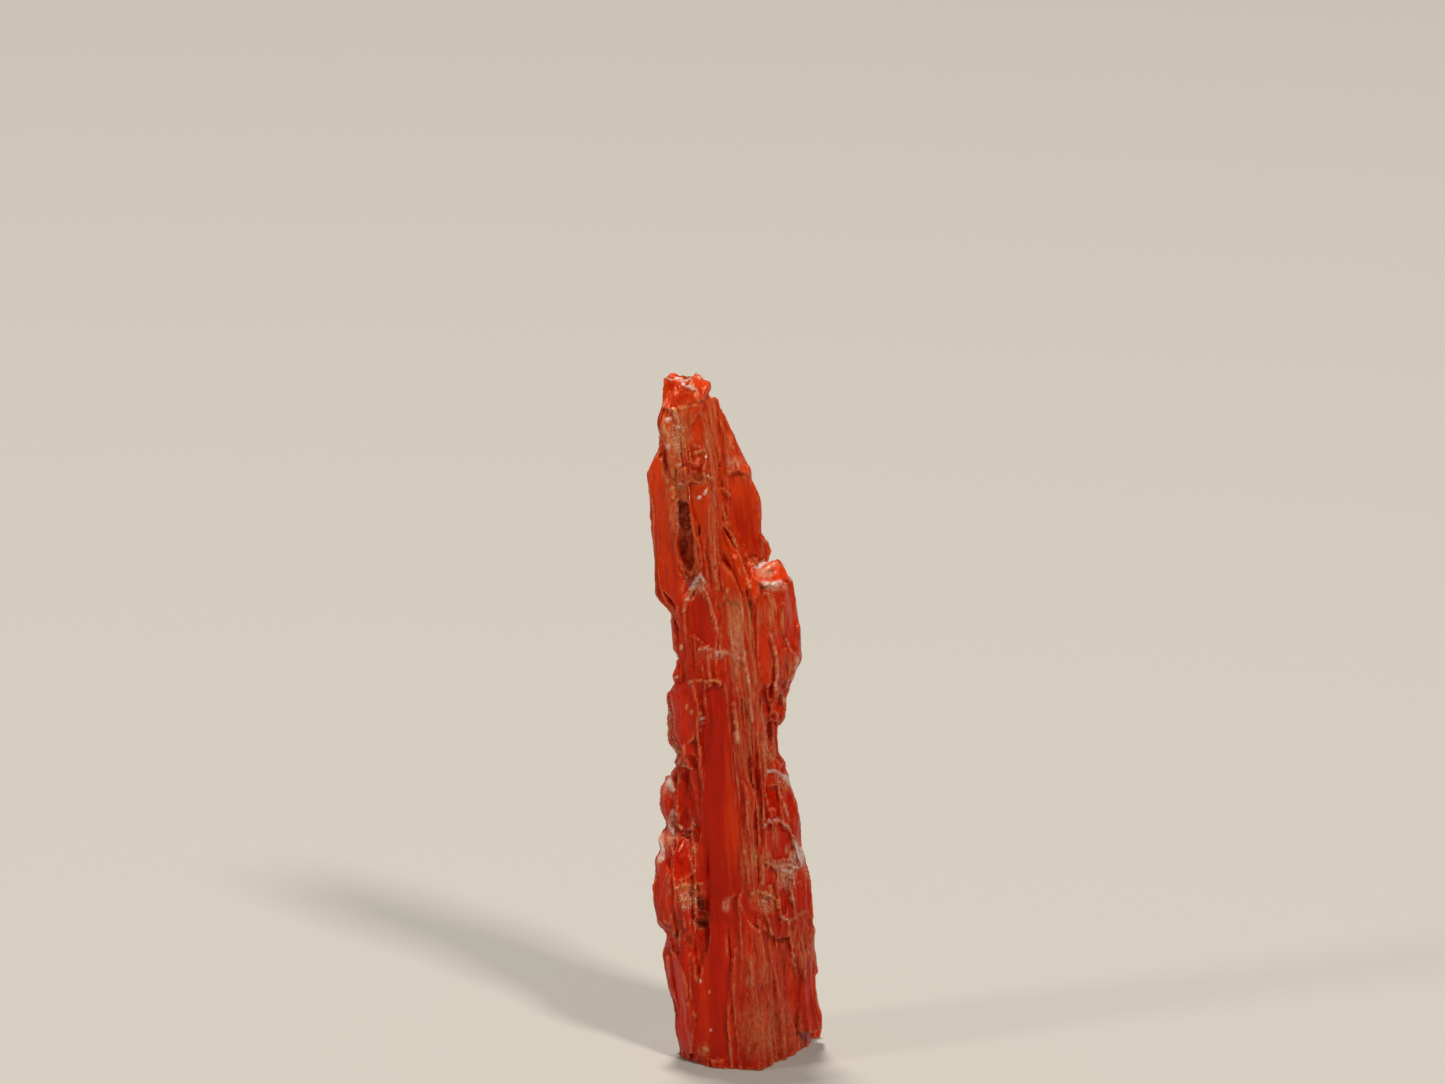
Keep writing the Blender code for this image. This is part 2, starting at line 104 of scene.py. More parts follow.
# Patterns: the size of their features across, in depth and up in mm, their seed, and their octaves if several
WIDE_COLUMNS = ((0.55, 0.55, 7.0), 11)
NARROW_COLUMNS = ((0.26, 0.26, 3.6), 23)
COARSE_STRIATIONS = ((0.42, 0.42, 9.0), 31)
FINE_STRIATIONS = ((0.21, 0.21, 5.0), 37)
STREAKS = ((0.16, 0.16, 2.6), 59, 2)
BACK_CRUST = ((1.6, 1.6, 3.2), 71, 2)
LEDGES = ((0.7, 0.7, 1.1), 53, 3)
CRUMBS = ((0.16, 0.16, 0.22), 91)
BRIGHT_CRUMBS = ((0.15, 0.15, 0.17), 97)
WANDER_ACROSS = ((0.3, 0.3, 1.0), 5)
WANDER_DOWN = ((0.3, 0.3, 0.5), 6)
FEATHERS = ((0.14, 0.14, 2.0), 83, 2)
PANE_SWELL = ((0.34, 0.34, 2.2), 87, 2)
BROKEN_LINES = ((0.15, 0.15, 0.2), 47, 2)
SHEEN = ((0.8, 0.8, 6.0), 61)
COARSE_CRUST = ((0.7, 0.7, 1.6), 63, 2)
FINE_CRUST = ((0.2, 0.2, 0.3), 67, 2)

# Heights of the relief in mm, how many ledges a full swell is cut into, and how far a pane moves a point
WIDE_HEIGHT = 0.09
NARROW_HEIGHT = 0.07
COARSE_HEIGHT = 0.060
FINE_HEIGHT = 0.045
LEDGE_HEIGHT = 0.045
LEDGE_STEPS = 2.4
CRUMB_HEIGHT = 0.07
BRIGHT_CRUMB_HEIGHT = 0.05
SWELL_HEIGHT = 0.028
FARTHEST_MOVE = 0.45

# How far lines wander and the edges of the tones are feathered, in pixels
WANDER = 1.2
FEATHER = 5.0

# The least rough the crust is, and from which share on a bright crumb is yellow or white
LEAST_ROUGH = 0.35
YELLOW_FROM = 0.6
WHITE_FROM = 0.82

# Flat panes on the front: corners, how far the pane is set back in mm or raised if negative, and its tone,
# where deep, bright and pink are partly painted shade, glow and sheen
PANES = [
    ([(663, 379), (677, 378), (684, 385), (690, 394), (691, 404), (683, 410), (671, 412), (661, 409)],
     0.03, "deep"),
    ([(690, 375), (704, 376), (709, 388), (707, 402), (694, 401), (690, 390)], -0.02, "bright"),
    ([(692, 422), (698, 413), (705, 416), (706, 432), (709, 447), (701, 449), (694, 444), (688, 434)],
     0.12, "bright"),
    ([(707, 414), (709, 394), (715, 394), (720, 410), (722, 446), (720, 468), (711, 458), (709, 436)],
     0.02, "pink"),
    ([(688, 482), (708, 480), (711, 496), (709, 524), (706, 553), (699, 534), (689, 512), (680, 498)],
     0.14, "red"),
    ([(652, 462), (663, 452), (667, 481), (669, 505), (673, 531), (677, 563), (688, 578), (680, 606),
      (673, 628), (671, 606), (659, 592), (654, 566), (652, 540), (651, 505), (648, 480)], 0.03, "red"),
    ([(727, 476), (740, 471), (750, 475), (756, 492), (760, 516), (761, 540), (758, 558), (749, 560),
      (739, 542), (729, 518)], 0.08, "deep"),
    ([(718, 526), (722, 518), (730, 532), (738, 550), (744, 564), (749, 576), (751, 592), (739, 592),
      (728, 572), (721, 550)], -0.04, "bright"),
    ([(744, 562), (756, 560), (761, 574), (760, 594), (755, 606), (748, 598), (746, 578)], -0.20, "bright"),
    ([(718, 560), (725, 561), (733, 577), (741, 593), (744, 605), (736, 607), (726, 600), (719, 584)],
     -0.35, "bright"),
    ([(676, 468), (686, 466), (689, 484), (690, 502), (682, 506), (676, 496)], -0.20, "tan"),
    ([(719, 606), (732, 588), (742, 602), (752, 590), (757, 636), (758, 690), (752, 728), (741, 700),
      (728, 672)], -0.04, "pink"),
    ([(752, 566), (762, 560), (778, 559), (788, 566), (791, 577), (781, 586), (764, 588), (754, 580)],
     0.0, "bright"),
    ([(685, 606), (692, 596), (697, 588), (704, 597), (712, 618), (718, 640), (715, 652), (700, 644),
      (686, 634)], 0.10, "deep"),
    ([(760, 591), (779, 590), (783, 612), (785, 632), (770, 630), (761, 618)], 0.03, "pink"),
    ([(785, 584), (791, 583), (797, 600), (799, 622), (796, 636), (789, 628), (785, 606)], 0.05, "bright"),
    ([(755, 633), (763, 632), (769, 646), (773, 662), (773, 682), (769, 694), (761, 680), (757, 658)],
     0.02, "bright"),
    ([(777, 634), (784, 634), (789, 645), (786, 650), (779, 648)], 0.08, "bright"),
    ([(672, 684), (691, 679), (699, 700), (702, 716), (695, 742), (678, 750), (671, 734), (669, 702)],
     0.05, "red"),
    ([(705, 688), (724, 684), (729, 706), (733, 740), (736, 780), (738, 828), (741, 870), (743, 892),
      (733, 900), (728, 930), (728, 990), (729, 1060), (694, 1062), (695, 1020), (697, 985), (703, 955),
      (709, 935), (706, 905), (699, 880), (698, 830), (701, 790), (704, 740)], 0.04, "deep"),
    ([(746, 804), (752, 800), (755, 828), (752, 838), (746, 826)], 0.06, "bright"),
    ([(741, 884), (752, 894), (764, 910), (769, 932), (756, 930), (744, 918), (736, 902)], 0.02, "deep"),
    ([(765, 786), (779, 786), (780, 808), (768, 810)], 0.16, "deep"),
    ([(767, 830), (779, 824), (790, 834), (794, 849), (788, 861), (773, 862), (765, 850)], 0.16, "deep"),
    ([(678, 833), (688, 838), (692, 860), (694, 875), (680, 882), (671, 878), (672, 852)], 0.10, "red"),
    ([(657, 860), (664, 858), (668, 885), (672, 906), (671, 930), (661, 922), (657, 898)], 0.04, "bright"),
    ([(766, 870), (775, 866), (779, 876), (775, 888), (768, 886)], 0.10, "deep"),
    ([(780, 892), (784, 886), (788, 896), (787, 914), (781, 918)], 0.12, "deep"),
    ([(797, 882), (803, 878), (806, 896), (804, 914), (799, 908)], 0.10, "deep"),
    ([(667, 940), (680, 962), (688, 985), (693, 1020), (692, 1058), (684, 1062), (678, 1016), (672, 985)],
     0.03, "red"),
]

# Small moves of the outline: centre and radii in pixels, then the move across and up in mm
NUDGES = [
    ((666, 426), (16, 30), -0.24, 0.0),
    ((664, 381), (9, 12), -0.10, 0.12),
    ((706, 384), (13, 14), 0.20, 0.02),
    ((758, 482), (12, 26), -0.14, 0.0),
    ((770, 550), (14, 20), 0.20, 0.0),
    ((777, 566), (14, 12), 0.0, 0.18),
    ((789, 566), (9, 9), 0.12, 0.08),
    ((664, 611), (12, 18), 0.20, 0.0),
    ((673, 664), (12, 18), 0.18, 0.0),
    ((671, 752), (12, 12), 0.18, 0.0),
    ((660, 836), (14, 16), -0.20, 0.0),
    ((657, 860), (12, 14), -0.10, 0.0),
    ((661, 933), (12, 12), 0.18, 0.0),
    ((813, 933), (12, 14), 0.12, 0.0),
    ((820, 1026), (14, 28), 0.18, 0.0),
    ((680, 1028), (12, 22), -0.12, 0.0),
    ((800, 660), (10, 14), 0.12, 0.0),
    ((782, 761), (10, 10), 0.16, 0.0),
]

# Raised lines on the front: points along each, half width in pixels, height in mm, and tone; pale and white
# lines are partly painted highlights
RIDGES = [
    ([(662, 818), (660, 830), (663, 842), (661, 858)], 4.0, 0.09, "white"),
    ([(670, 812), (668, 824), (672, 832)], 2.6, 0.08, "white"),
    ([(664, 774), (666, 783), (670, 790)], 4.0, 0.09, "white"),
    ([(803, 838), (805, 850), (803, 864)], 3.6, 0.08, "white"),
    ([(671, 379), (680, 376), (690, 375)], 3.0, 0.10, "white"),
    ([(681, 380), (686, 386), (692, 389)], 2.4, 0.08, "white"),
    ([(690, 376), (692, 386), (699, 394)], 1.6, 0.06, "pale"),
    ([(672, 411), (684, 409), (697, 405)], 1.6, 0.05, "tan"),
    ([(674, 412), (679, 424), (682, 432)], 2.4, 0.09, "pale"),
    ([(669, 420), (672, 436), (676, 450), (679, 462)], 2.0, 0.07, "tan"),
    ([(706, 413), (707, 430), (708, 446)], 1.6, 0.07, "tan"),
    ([(696, 454), (703, 451), (707, 456)], 2.2, 0.10, "tan"),
    ([(688, 477), (693, 474), (703, 475), (712, 477)], 2.4, 0.12, "tan"),
    ([(709, 458), (713, 474), (714, 500), (715, 530), (716, 560), (717, 588)], 3.2, 0.09, "pink"),
    ([(719, 488), (724, 491), (729, 496)], 3.0, 0.14, "tan"),
    ([(721, 504), (726, 518), (729, 528)], 2.2, 0.09, "tan"),
    ([(722, 526), (728, 530), (735, 540), (739, 554), (743, 564), (747, 576), (750, 588)],
     1.6, 0.10, "tan"),
    ([(722, 522), (730, 540), (738, 562), (745, 588)], 5.0, 0.10, "bright"),
    ([(723, 411), (736, 440), (744, 460), (752, 473), (755, 489), (760, 505), (763, 531), (768, 543),
      (768, 556)], 1.6, 0.06, "bright"),
    ([(727, 472), (740, 470), (750, 474)], 2.4, 0.06, "pink"),
    ([(690, 590), (694, 580), (699, 576), (703, 582)], 3.0, 0.12, "white"),
    ([(694, 588), (688, 598), (685, 611)], 2.0, 0.08, "pale"),
    ([(704, 590), (710, 604), (716, 622), (720, 640), (721, 652)], 1.8, 0.08, "pale"),
    ([(756, 567), (764, 561), (778, 560), (786, 567), (791, 579)], 3.0, 0.10, "white"),
    ([(763, 582), (771, 586), (780, 583)], 4.2, 0.10, "white"),
    ([(728, 590), (731, 620), (734, 650), (738, 690)], 2.2, 0.05, "tan"),
    ([(741, 606), (743, 640), (748, 680), (752, 720)], 2.6, 0.05, "pale"),
    ([(770, 632), (776, 655), (778, 676), (776, 690)], 2.2, 0.07, "pale"),
    ([(786, 640), (794, 655), (796, 672), (788, 686)], 2.0, 0.06, "pale"),
    ([(699, 652), (708, 648), (718, 652), (730, 652), (742, 660)], 2.4, 0.07, "pale"),
    ([(690, 683), (699, 680), (706, 683), (713, 680), (721, 683)], 1.8, 0.08, "tan"),
    ([(698, 704), (703, 716), (701, 730), (696, 742)], 1.8, 0.06, "tan"),
    ([(733, 704), (736, 724), (737, 742)], 2.4, 0.07, "pale"),
    ([(741, 690), (747, 730), (752, 770), (757, 806), (760, 846), (763, 880)], 2.0, 0.06, "pink"),
    ([(735, 744), (739, 780), (742, 812), (745, 850), (748, 884)], 1.8, 0.06, "pink"),
    ([(762, 700), (766, 740), (769, 770), (764, 800), (762, 826)], 2.0, 0.05, "pink"),
    ([(768, 772), (778, 770), (788, 777), (794, 790)], 2.6, 0.09, "white"),
    ([(780, 786), (785, 806), (790, 822)], 2.0, 0.08, "pale"),
    ([(763, 826), (770, 821), (781, 821), (791, 831), (797, 845), (797, 858), (791, 866), (776, 868),
      (766, 862)], 2.2, 0.12, "pale"),
    ([(795, 843), (801, 850), (804, 862)], 3.4, 0.14, "white"),
    ([(777, 868), (790, 872), (800, 868)], 2.4, 0.10, "white"),
    ([(764, 884), (764, 866)], 1.6, 0.07, "pale"),
    ([(751, 894), (760, 890), (769, 896), (778, 901), (779, 908)], 2.6, 0.10, "tan"),
    ([(767, 909), (769, 922), (772, 934)], 2.4, 0.09, "tan"),
    ([(790, 886), (793, 900), (796, 918)], 2.2, 0.10, "pale"),
    ([(781, 917), (790, 920), (798, 916), (806, 914)], 2.0, 0.08, "pale"),
    ([(789, 922), (792, 944), (796, 968)], 1.4, 0.06, "pale"),
    ([(800, 922), (803, 950), (806, 985)], 1.6, 0.06, "pink"),
    ([(658, 826), (664, 822), (673, 822), (680, 828), (689, 835), (693, 848), (697, 871)],
     1.6, 0.08, "pale"),
    ([(675, 888), (684, 885), (694, 887), (703, 884)], 2.2, 0.09, "tan"),
    ([(694, 914), (698, 910), (704, 912)], 2.0, 0.09, "tan"),
    ([(664, 934), (667, 960), (671, 990), (677, 1014), (681, 1060)], 2.0, 0.05, "bright"),
    ([(681, 1000), (690, 1006), (697, 1020)], 1.6, 0.05, "red"),
]

# Hollows on the front: centre and radii in pixels, depth in mm, and tone; a deep tone in a hollow is painted
# shade
HOLLOWS = [
    ((681, 512), (5, 14), 0.08, "brown"),
    ((684, 546), (6, 16), 0.12, "brown"),
    ((675, 480), (4, 14), 0.04, "brown"),
    ((698, 532), (3.5, 9), 0.14, "brown"),
    ((685, 577), (5, 8), 0.22, "deep"),
    ((770, 573), (8, 3.2), 0.16, "deep"),
    ((760, 702), (2.6, 14), 0.12, "deep"),
    ((768, 708), (5, 10), 0.14, "deep"),
    ((781, 684), (6, 9), 0.10, "red"),
    ((702, 923), (5.2, 5.6), 0.24, "brown"),
    ((677, 936), (3, 16), 0.08, "brown"),
    ((758, 860), (3, 12), 0.06, "tan"),
    ((770, 858), (5, 7), 0.04, "pink"),
]

# Knobs and crumbs on the front: centre and radii in pixels, height in mm, and tone; white and pale knobs are
# partly painted glints
KNOBS = [
    ((696, 378), (7, 6), 0.08, "red"),
    ((683, 378), (6, 3), 0.08, "white"),
    ((688, 386), (3, 3), 0.06, "white"),
    ((672, 419), (2.6, 3.0), 0.08, "white"),
    ((678, 428), (2.6, 3.0), 0.08, "white"),
    ((684, 447), (2.4, 2.8), 0.08, "yellow"),
    ((670, 447), (2.4, 2.8), 0.07, "white"),
    ((705, 492), (3.4, 2.8), 0.10, "white"),
    ((699, 497), (2.4, 2.0), 0.08, "white"),
    ((708, 489), (2.0, 1.8), 0.06, "yellow"),
    ((705, 456), (1.8, 1.8), 0.07, "white"),
    ((678, 466), (3.4, 3.4), 0.16, "pale"),
    ((669, 481), (3.2, 3.4), 0.14, "tan"),
    ((681, 486), (4.0, 4.0), 0.16, "pale"),
    ((674, 498), (3.4, 3.4), 0.12, "tan"),
    ((672, 489), (2.4, 2.4), 0.10, "yellow"),
    ((679, 500), (2.4, 2.6), 0.10, "yellow"),
    ((688, 534), (2.2, 3.6), 0.10, "tan"),
    ((680, 532), (2.2, 3.0), 0.10, "red"),
    ((690, 556), (2.4, 3.6), 0.10, "tan"),
    ((784, 700), (3.6, 8), 0.18, "pale"),
    ((667, 780), (5, 8), 0.12, "white"),
    ((674, 677), (2.4, 2.6), 0.10, "white"),
    ((681, 648), (3.4, 4.5), 0.08, "pale"),
    ((687, 706), (2.4, 3.4), 0.06, "pale"),
    ((692, 712), (2.8, 3.4), 0.07, "tan"),
    ((702, 715), (2.2, 3.0), 0.06, "tan"),
    ((688, 770), (2.4, 2.8), 0.07, "pale"),
    ((674, 815), (2.8, 3.2), 0.09, "white"),
    ((665, 824), (3.4, 2.8), 0.09, "white"),
    ((661, 850), (2.8, 3.6), 0.12, "white"),
    ((787, 777), (3.2, 2.8), 0.08, "white"),
    ((790, 877), (2.2, 2.6), 0.08, "white"),
    ((796, 967), (1.6, 2.2), 0.06, "white"),
    ((789, 922), (1.8, 2.0), 0.06, "white"),
    ((709, 993), (2.0, 2.8), 0.03, "yellow"),
    ((737, 613), (2.0, 3.2), 0.03, "yellow"),
    ((710, 1030), (1.6, 2.2), 0.05, "white"),
    ((699, 981), (1.6, 2.4), 0.03, "white"),
    ((705, 1050), (3.4, 3.4), 0.05, "tan"),
    ((764, 594), (3.4, 2.6), 0.06, "pale"),
]

# Patches on the front, in colour alone: stains, and painted shade, glow, sheen and highlights; centre and
# radii in pixels, strength, and tone
STAINS_AND_PAINTED_LIGHT = [
    ((744, 528), (10, 26), 0.9, "deep"),
    ((775, 838), (4, 14), 0.8, "pink"),
    ((785, 850), (3, 10), 0.6, "pale"),
    ((678, 528), (5, 9), 0.8, "tan"),
    ((690, 500), (5, 10), 0.5, "tan"),
    ((731, 838), (9, 66), 1.0, "bright"),
    ((726, 770), (6, 50), 0.6, "bright"),
    ((712, 760), (7, 70), 0.7, "deep"),
    ((714, 935), (9, 60), 0.9, "deep"),
    ((704, 1000), (8, 60), 0.5, "bright"),
    ((713, 430), (10, 48), 0.95, "pink"),
    ((701, 402), (10, 12), 0.4, "pink"),
    ((686, 430), (10, 22), 0.8, "pink"),
    ((676, 438), (11, 38), 0.9, "tan"),
    ((680, 412), (10, 8), 0.6, "tan"),
    ((676, 500), (9, 60), 0.7, "tan"),
    ((690, 560), (10, 26), 0.6, "tan"),
    ((714, 520), (6, 70), 0.8, "pink"),
    ((700, 480), (12, 8), 0.5, "tan"),
    ((740, 486), (16, 16), 1.0, "bright"),
    ((744, 476), (12, 8), 0.6, "pink"),
    ((697, 584), (10, 12), 0.7, "pale"),
    ((739, 604), (8, 14), 0.6, "tan"),
    ((737, 650), (8, 50), 0.6, "pale"),
    ((773, 612), (14, 24), 0.9, "pink"),
    ((766, 571), (15, 10), 0.9, "pale"),
    ((774, 586), (13, 7), 0.9, "pale"),
    ((730, 440), (7, 34), 0.7, "pink"),
    ((736, 462), (10, 8), 0.7, "pale"),
    ((673, 552), (7, 52), 0.8, "deep"),
    ((654, 500), (6, 46), 0.8, "bright"),
    ((662, 590), (8, 22), 0.6, "deep"),
    ((668, 470), (5, 24), 0.6, "pink"),
    ((782, 668), (16, 18), 0.7, "pink"),
    ((716, 654), (24, 9), 0.2, "pale"),
    ((748, 720), (16, 70), 0.6, "pink"),
    ((770, 745), (9, 24), 0.8, "tan"),
    ((749, 840), (9, 60), 0.7, "pink"),
    ((754, 856), (6, 14), 0.8, "tan"),
    ((767, 862), (8, 16), 0.9, "pink"),
    ((688, 894), (18, 16), 0.6, "tan"),
    ((676, 926), (7, 22), 0.8, "brown"),
    ((703, 922), (7, 8), 0.7, "tan"),
    ((666, 836), (14, 22), 0.7, "pale"),
    ((667, 780), (9, 16), 0.8, "pale"),
    ((786, 780), (16, 16), 0.6, "pink"),
    ((800, 856), (9, 20), 0.9, "pale"),
    ((785, 872), (24, 14), 0.6, "pink"),
    ((764, 900), (18, 16), 0.7, "tan"),
    ((815, 940), (9, 40), 0.9, "pink"),
    ((798, 950), (18, 44), 0.6, "pink"),
    ((758, 985), (34, 80), 0.38, "pink"),
    ((770, 1030), (44, 40), 0.35, "tan"),
    ((750, 981), (5, 8), 0.8, "pale"),
    ((725, 905), (2.6, 9), 0.8, "pale"),
    ((705, 1050), (7, 9), 0.6, "tan"),
]

# Where the crust on the front is rougher: centre and radii in pixels, and how rough
ROUGH_PLACES = [
    ((686, 388), (12, 10), 0.5),
    ((677, 440), (10, 36), 1.0),
    ((682, 520), (14, 70), 0.9),
    ((700, 584), (18, 14), 0.9),
    ((716, 656), (30, 16), 0.6),
    ((692, 712), (16, 20), 0.5),
    ((768, 570), (20, 12), 0.25),
    ((787, 690), (12, 20), 0.5),
    ((668, 790), (12, 26), 0.9),
    ((676, 840), (24, 30), 0.6),
    ((688, 900), (22, 24), 0.9),
    ((785, 780), (20, 20), 0.8),
    ((786, 870), (30, 50), 0.9),
    ((768, 905), (20, 20), 0.8),
    ((804, 930), (16, 40), 0.6),
]

# Of the tones, deep and bright are the crystal's reds and partly painted shade and glow, pink is a painted
# sheen, and pale and white are partly painted highlights and glints
TONES = ("deep", "bright", "pink", "tan", "brown", "pale", "white", "yellow")

# The shares that each colour attribute of the mesh holds
COLOUR_LAYERS = {
    "reds": ("deep", "bright", "pink"),
    "crusts": ("tan", "brown", "pale"),
    "lights": ("white", "yellow", "glow"),
    "relief": ("strand", "edge", "hollow"),
    "grit": ("crust", "thread"),
}

# The crystal's colours
RED = (0.84, 0.022, 0.0015, 1)
RED_DARK = (0.58, 0.009, 0.001, 1)
SHADE = (0.30, 0.004, 0.001, 1)
# The crystal's own deep red, also laid as painted shade in recesses and on faces darker for the light
DEEP_AND_SHADE = (0.55, 0.004, 0.0008, 1)
# The crystal's own orange-red, also laid as painted glow and highlight bands
BRIGHT_AND_GLOW = (0.95, 0.060, 0.003, 1)
ORANGE = (0.88, 0.075, 0.006, 1)
# Painted glow where the crystal is thin
GLOW = (0.97, 0.085, 0.004, 1)
# Painted highlight on the raised edges of the relief
EDGE_HIGHLIGHT = (0.95, 0.24, 0.07, 1)
# Painted sheen on the striated faces
PINK_SHEEN = (0.80, 0.25, 0.09, 1)
TAN = (0.80, 0.35, 0.12, 1)
BROWN = (0.15, 0.030, 0.008, 1)
# Pale crust, and painted highlights on ledges, raised lines and up-facing places
PALE_AND_HIGHLIGHTS = (0.88, 0.50, 0.29, 1)
# White specks, and painted glints on knobs, raised lines and crust
WHITE_AND_GLINTS = (0.97, 0.88, 0.82, 1)
YELLOW = (0.90, 0.48, 0.10, 1)

# Between these heights in metres the crystal turns more orange
ORANGE_FROM_TO = (0.009, 0.020)

# The material's noises: their scale along x, y and z, their detail and their roughness
GRAINS = {
    "threads": ((15000, 15000, 700), 3.0, 0.65),
    "streaks": ((5000, 5000, 350), 4.0, 0.65),
    "mottle": ((6000, 6000, 3500), 3.0, 0.6),
    "clouds": ((1400, 1400, 700), 3.0, 0.6),
    "grains": ((11000, 11000, 8000), 3.0, 0.6),
    "grit": ((24000, 24000, 20000), 2.0, 0.6),
}

# How the crystal takes the light
SHADER = {
    "IOR": 1.5,
    "Specular IOR Level": 0.24,
    "Specular Tint": (1.0, 0.46, 0.26, 1),
    "Transmission Weight": 0.45,
    "Subsurface Weight": 0.25,
    "Subsurface Radius": (1.0, 0.10, 0.03),
    "Subsurface Scale": 0.0005,
}
ABSORPTION = {"Color": (0.75, 0.10, 0.03, 1), "Density": 1500.0}
GLOSSIEST = 0.08
BUMP_STRENGTH = 0.8
BUMP_DISTANCE = 0.00007

# The studio: a pale floor, with how far it reaches each way in metres, an even sky, and warm lamps
FLOOR_REACH = 2.0
FLOOR_COLOUR = (0.385, 0.37, 0.34, 1)
FLOOR_ROUGHNESS = 0.8
SKY_COLOUR = (0.92, 0.89, 0.84, 1)
SKY_STRENGTH = 0.12
LAMP_COLOUR = (1.0, 0.95, 0.88)

# The lamps: place, the point aimed at, side in mm, and power in watts
LAMPS = {
    "key": ((330, -470, 560), (0, 0, 10), 100, 4.7),
    "top": ((-60, 120, 690), (0, 0, 12), 90, 4.9),
    "left": ((-600, -260, 300), (0, 0, 10), 100, 1.7),
}


def lattice(ix, iy, iz, seed):
    """A repeatable number from 0 to 1 for each point of a whole-number grid."""
    mixed = (ix * 374761393 + iy * 668265263 + iz * 2147483647 + seed * 1274126177) & 0xFFFFFFFF
    mixed = ((mixed ^ (mixed >> 13)) * 1274126177) & 0xFFFFFFFF
    return ((mixed ^ (mixed >> 16)) & 0xFFFF) / 65535.0


def noise(points, sizes, seed):
    """Smooth value noise from -1 to 1, with its own feature size along each axis."""
    place = points / np.array(sizes)
    cell = np.floor(place).astype(np.int64)
    part = place - cell
    blend = part * part * part * (part * (part * 6 - 15) + 10)
    total = np.zeros(len(points))
    for dx in (0, 1):
        for dy in (0, 1):
            for dz in (0, 1):
                weight = (
                    (blend[:, 0] if dx else 1 - blend[:, 0])
                    * (blend[:, 1] if dy else 1 - blend[:, 1])
                    * (blend[:, 2] if dz else 1 - blend[:, 2])
                )
                total += weight * lattice(cell[:, 0] + dx, cell[:, 1] + dy, cell[:, 2] + dz, seed)
    return total * 2 - 1


def fractal(points, sizes, seed, octaves):
    """Noise with finer noise added, each octave half as large and half as strong."""
    total = np.zeros(len(points))
    strength = 1.0
    for octave in range(octaves):
        total += strength * noise(points, np.array(sizes) / 2**octave, seed + octave)
        strength *= 0.5
    return total


def ridged(points, sizes, seed):
    """Sharp ridges: 1 along their crests, falling to -3 at most in the hollows between them."""
    return 1 - 4 * np.abs(noise(points, sizes, seed))


def columns(points, sizes, seed):
    """Cells like packed columns: a number from 0 to 1 for each, and how far its edge and its middle are."""
    place = points / np.array(sizes)
    cell = np.floor(place).astype(np.int64)
    nearest = np.full(len(points), np.inf)
    second = np.full(len(points), np.inf)
    value = np.zeros(len(points))
    for dx in (-1, 0, 1):
        for dy in (-1, 0, 1):
            for dz in (-1, 0, 1):
                ix, iy, iz = cell[:, 0] + dx, cell[:, 1] + dy, cell[:, 2] + dz
                away = np.sqrt(
                    (ix + lattice(ix, iy, iz, seed) - place[:, 0]) ** 2
                    + (iy + lattice(ix, iy, iz, seed + 1) - place[:, 1]) ** 2
                    + (iz + lattice(ix, iy, iz, seed + 2) - place[:, 2]) ** 2
                )
                closer = away < nearest
                second = np.where(closer, nearest, np.minimum(second, away))
                value = np.where(closer, lattice(ix, iy, iz, seed + 3), value)
                nearest = np.where(closer, away, nearest)
    return value, second - nearest, nearest


def smooth_step(low, high, value):
    """0 at the low value, 1 at the high one and an even curve between them."""
    share = np.clip((value - low) / (high - low), 0.0, 1.0)
    return share * share * (3 - 2 * share)


def spot(places, centre, radii):
    """1 at a place, falling smoothly to 0 at the radii round it."""
    away = np.linalg.norm((places - np.array(centre)) / np.array(radii), axis=1)
    return 1 - smooth_step(0.0, 1.0, away)


def line_distance(places, line):
    """How far each place is from a line through several points."""
    nearest = np.full(len(places), np.inf)
    for start, end in zip(line[:-1], line[1:]):
        start = np.array(start, dtype=float)
        step = np.array(end, dtype=float) - start
        share = np.clip((places - start) @ step / (step @ step), 0.0, 1.0)
        nearest = np.minimum(nearest, np.linalg.norm(places - start - share[:, None] * step, axis=1))
    return nearest


def along_line(places, line, half_width):
    """1 on a line through several points, falling to 0 at its half width."""
    return 1 - smooth_step(0.2, 1.0, line_distance(places, line) / half_width)


def inside(places, corners, rim):
    """1 inside a shape with those corners, falling to 0 over a rim this wide inside its outline."""
    within = np.zeros(len(places), dtype=bool)
    outline = corners + corners[:1]
    for (ax, ay), (bx, by) in zip(outline[:-1], outline[1:]):
        if ay != by:
            crosses = (ay > places[:, 1]) != (by > places[:, 1])
            within ^= crosses & (places[:, 0] < (bx - ax) * (places[:, 1] - ay) / (by - ay) + ax)
    return np.where(within, smooth_step(0.0, rim, line_distance(places, outline)), 0.0)


def working_mesh(node):
    """A fine closed mesh over the solid, in millimetres, with its rows along the striations."""
    mesh = bpy.data.meshes.new_from_object(node)
    mesh.transform(node.matrix_world)
    size = 1 / MM
    mesh.transform(((size, 0, LEAN * size, 0), (0, size, 0, 0), (0, 0, size / GRAIN_HEIGHT, 0), (0, 0, 0, 1)))
    rough = bpy.data.objects.new("fine_crystal", mesh)
    bpy.context.scene.collection.objects.link(rough)
    weld = rough.modifiers.new("weld", "WELD")
    weld.merge_threshold = WELD
    remesh = rough.modifiers.new("fine", "REMESH")
    remesh.mode = "VOXEL"
    remesh.voxel_size = VOXEL
    fine = bpy.data.meshes.new_from_object(rough.evaluated_get(bpy.context.evaluated_depsgraph_get()))
    bpy.data.objects.remove(rough)
    fine.transform(((1, 0, -LEAN * GRAIN_HEIGHT, 0), (0, 1, 0, 0), (0, 0, GRAIN_HEIGHT, 0), (0, 0, 0, 1)))
    return fine


def read_points(mesh):
    flat = np.empty(len(mesh.vertices) * 3, dtype=np.float32)
    mesh.vertices.foreach_get("co", flat)
    return flat.reshape(-1, 3).astype(np.float64)


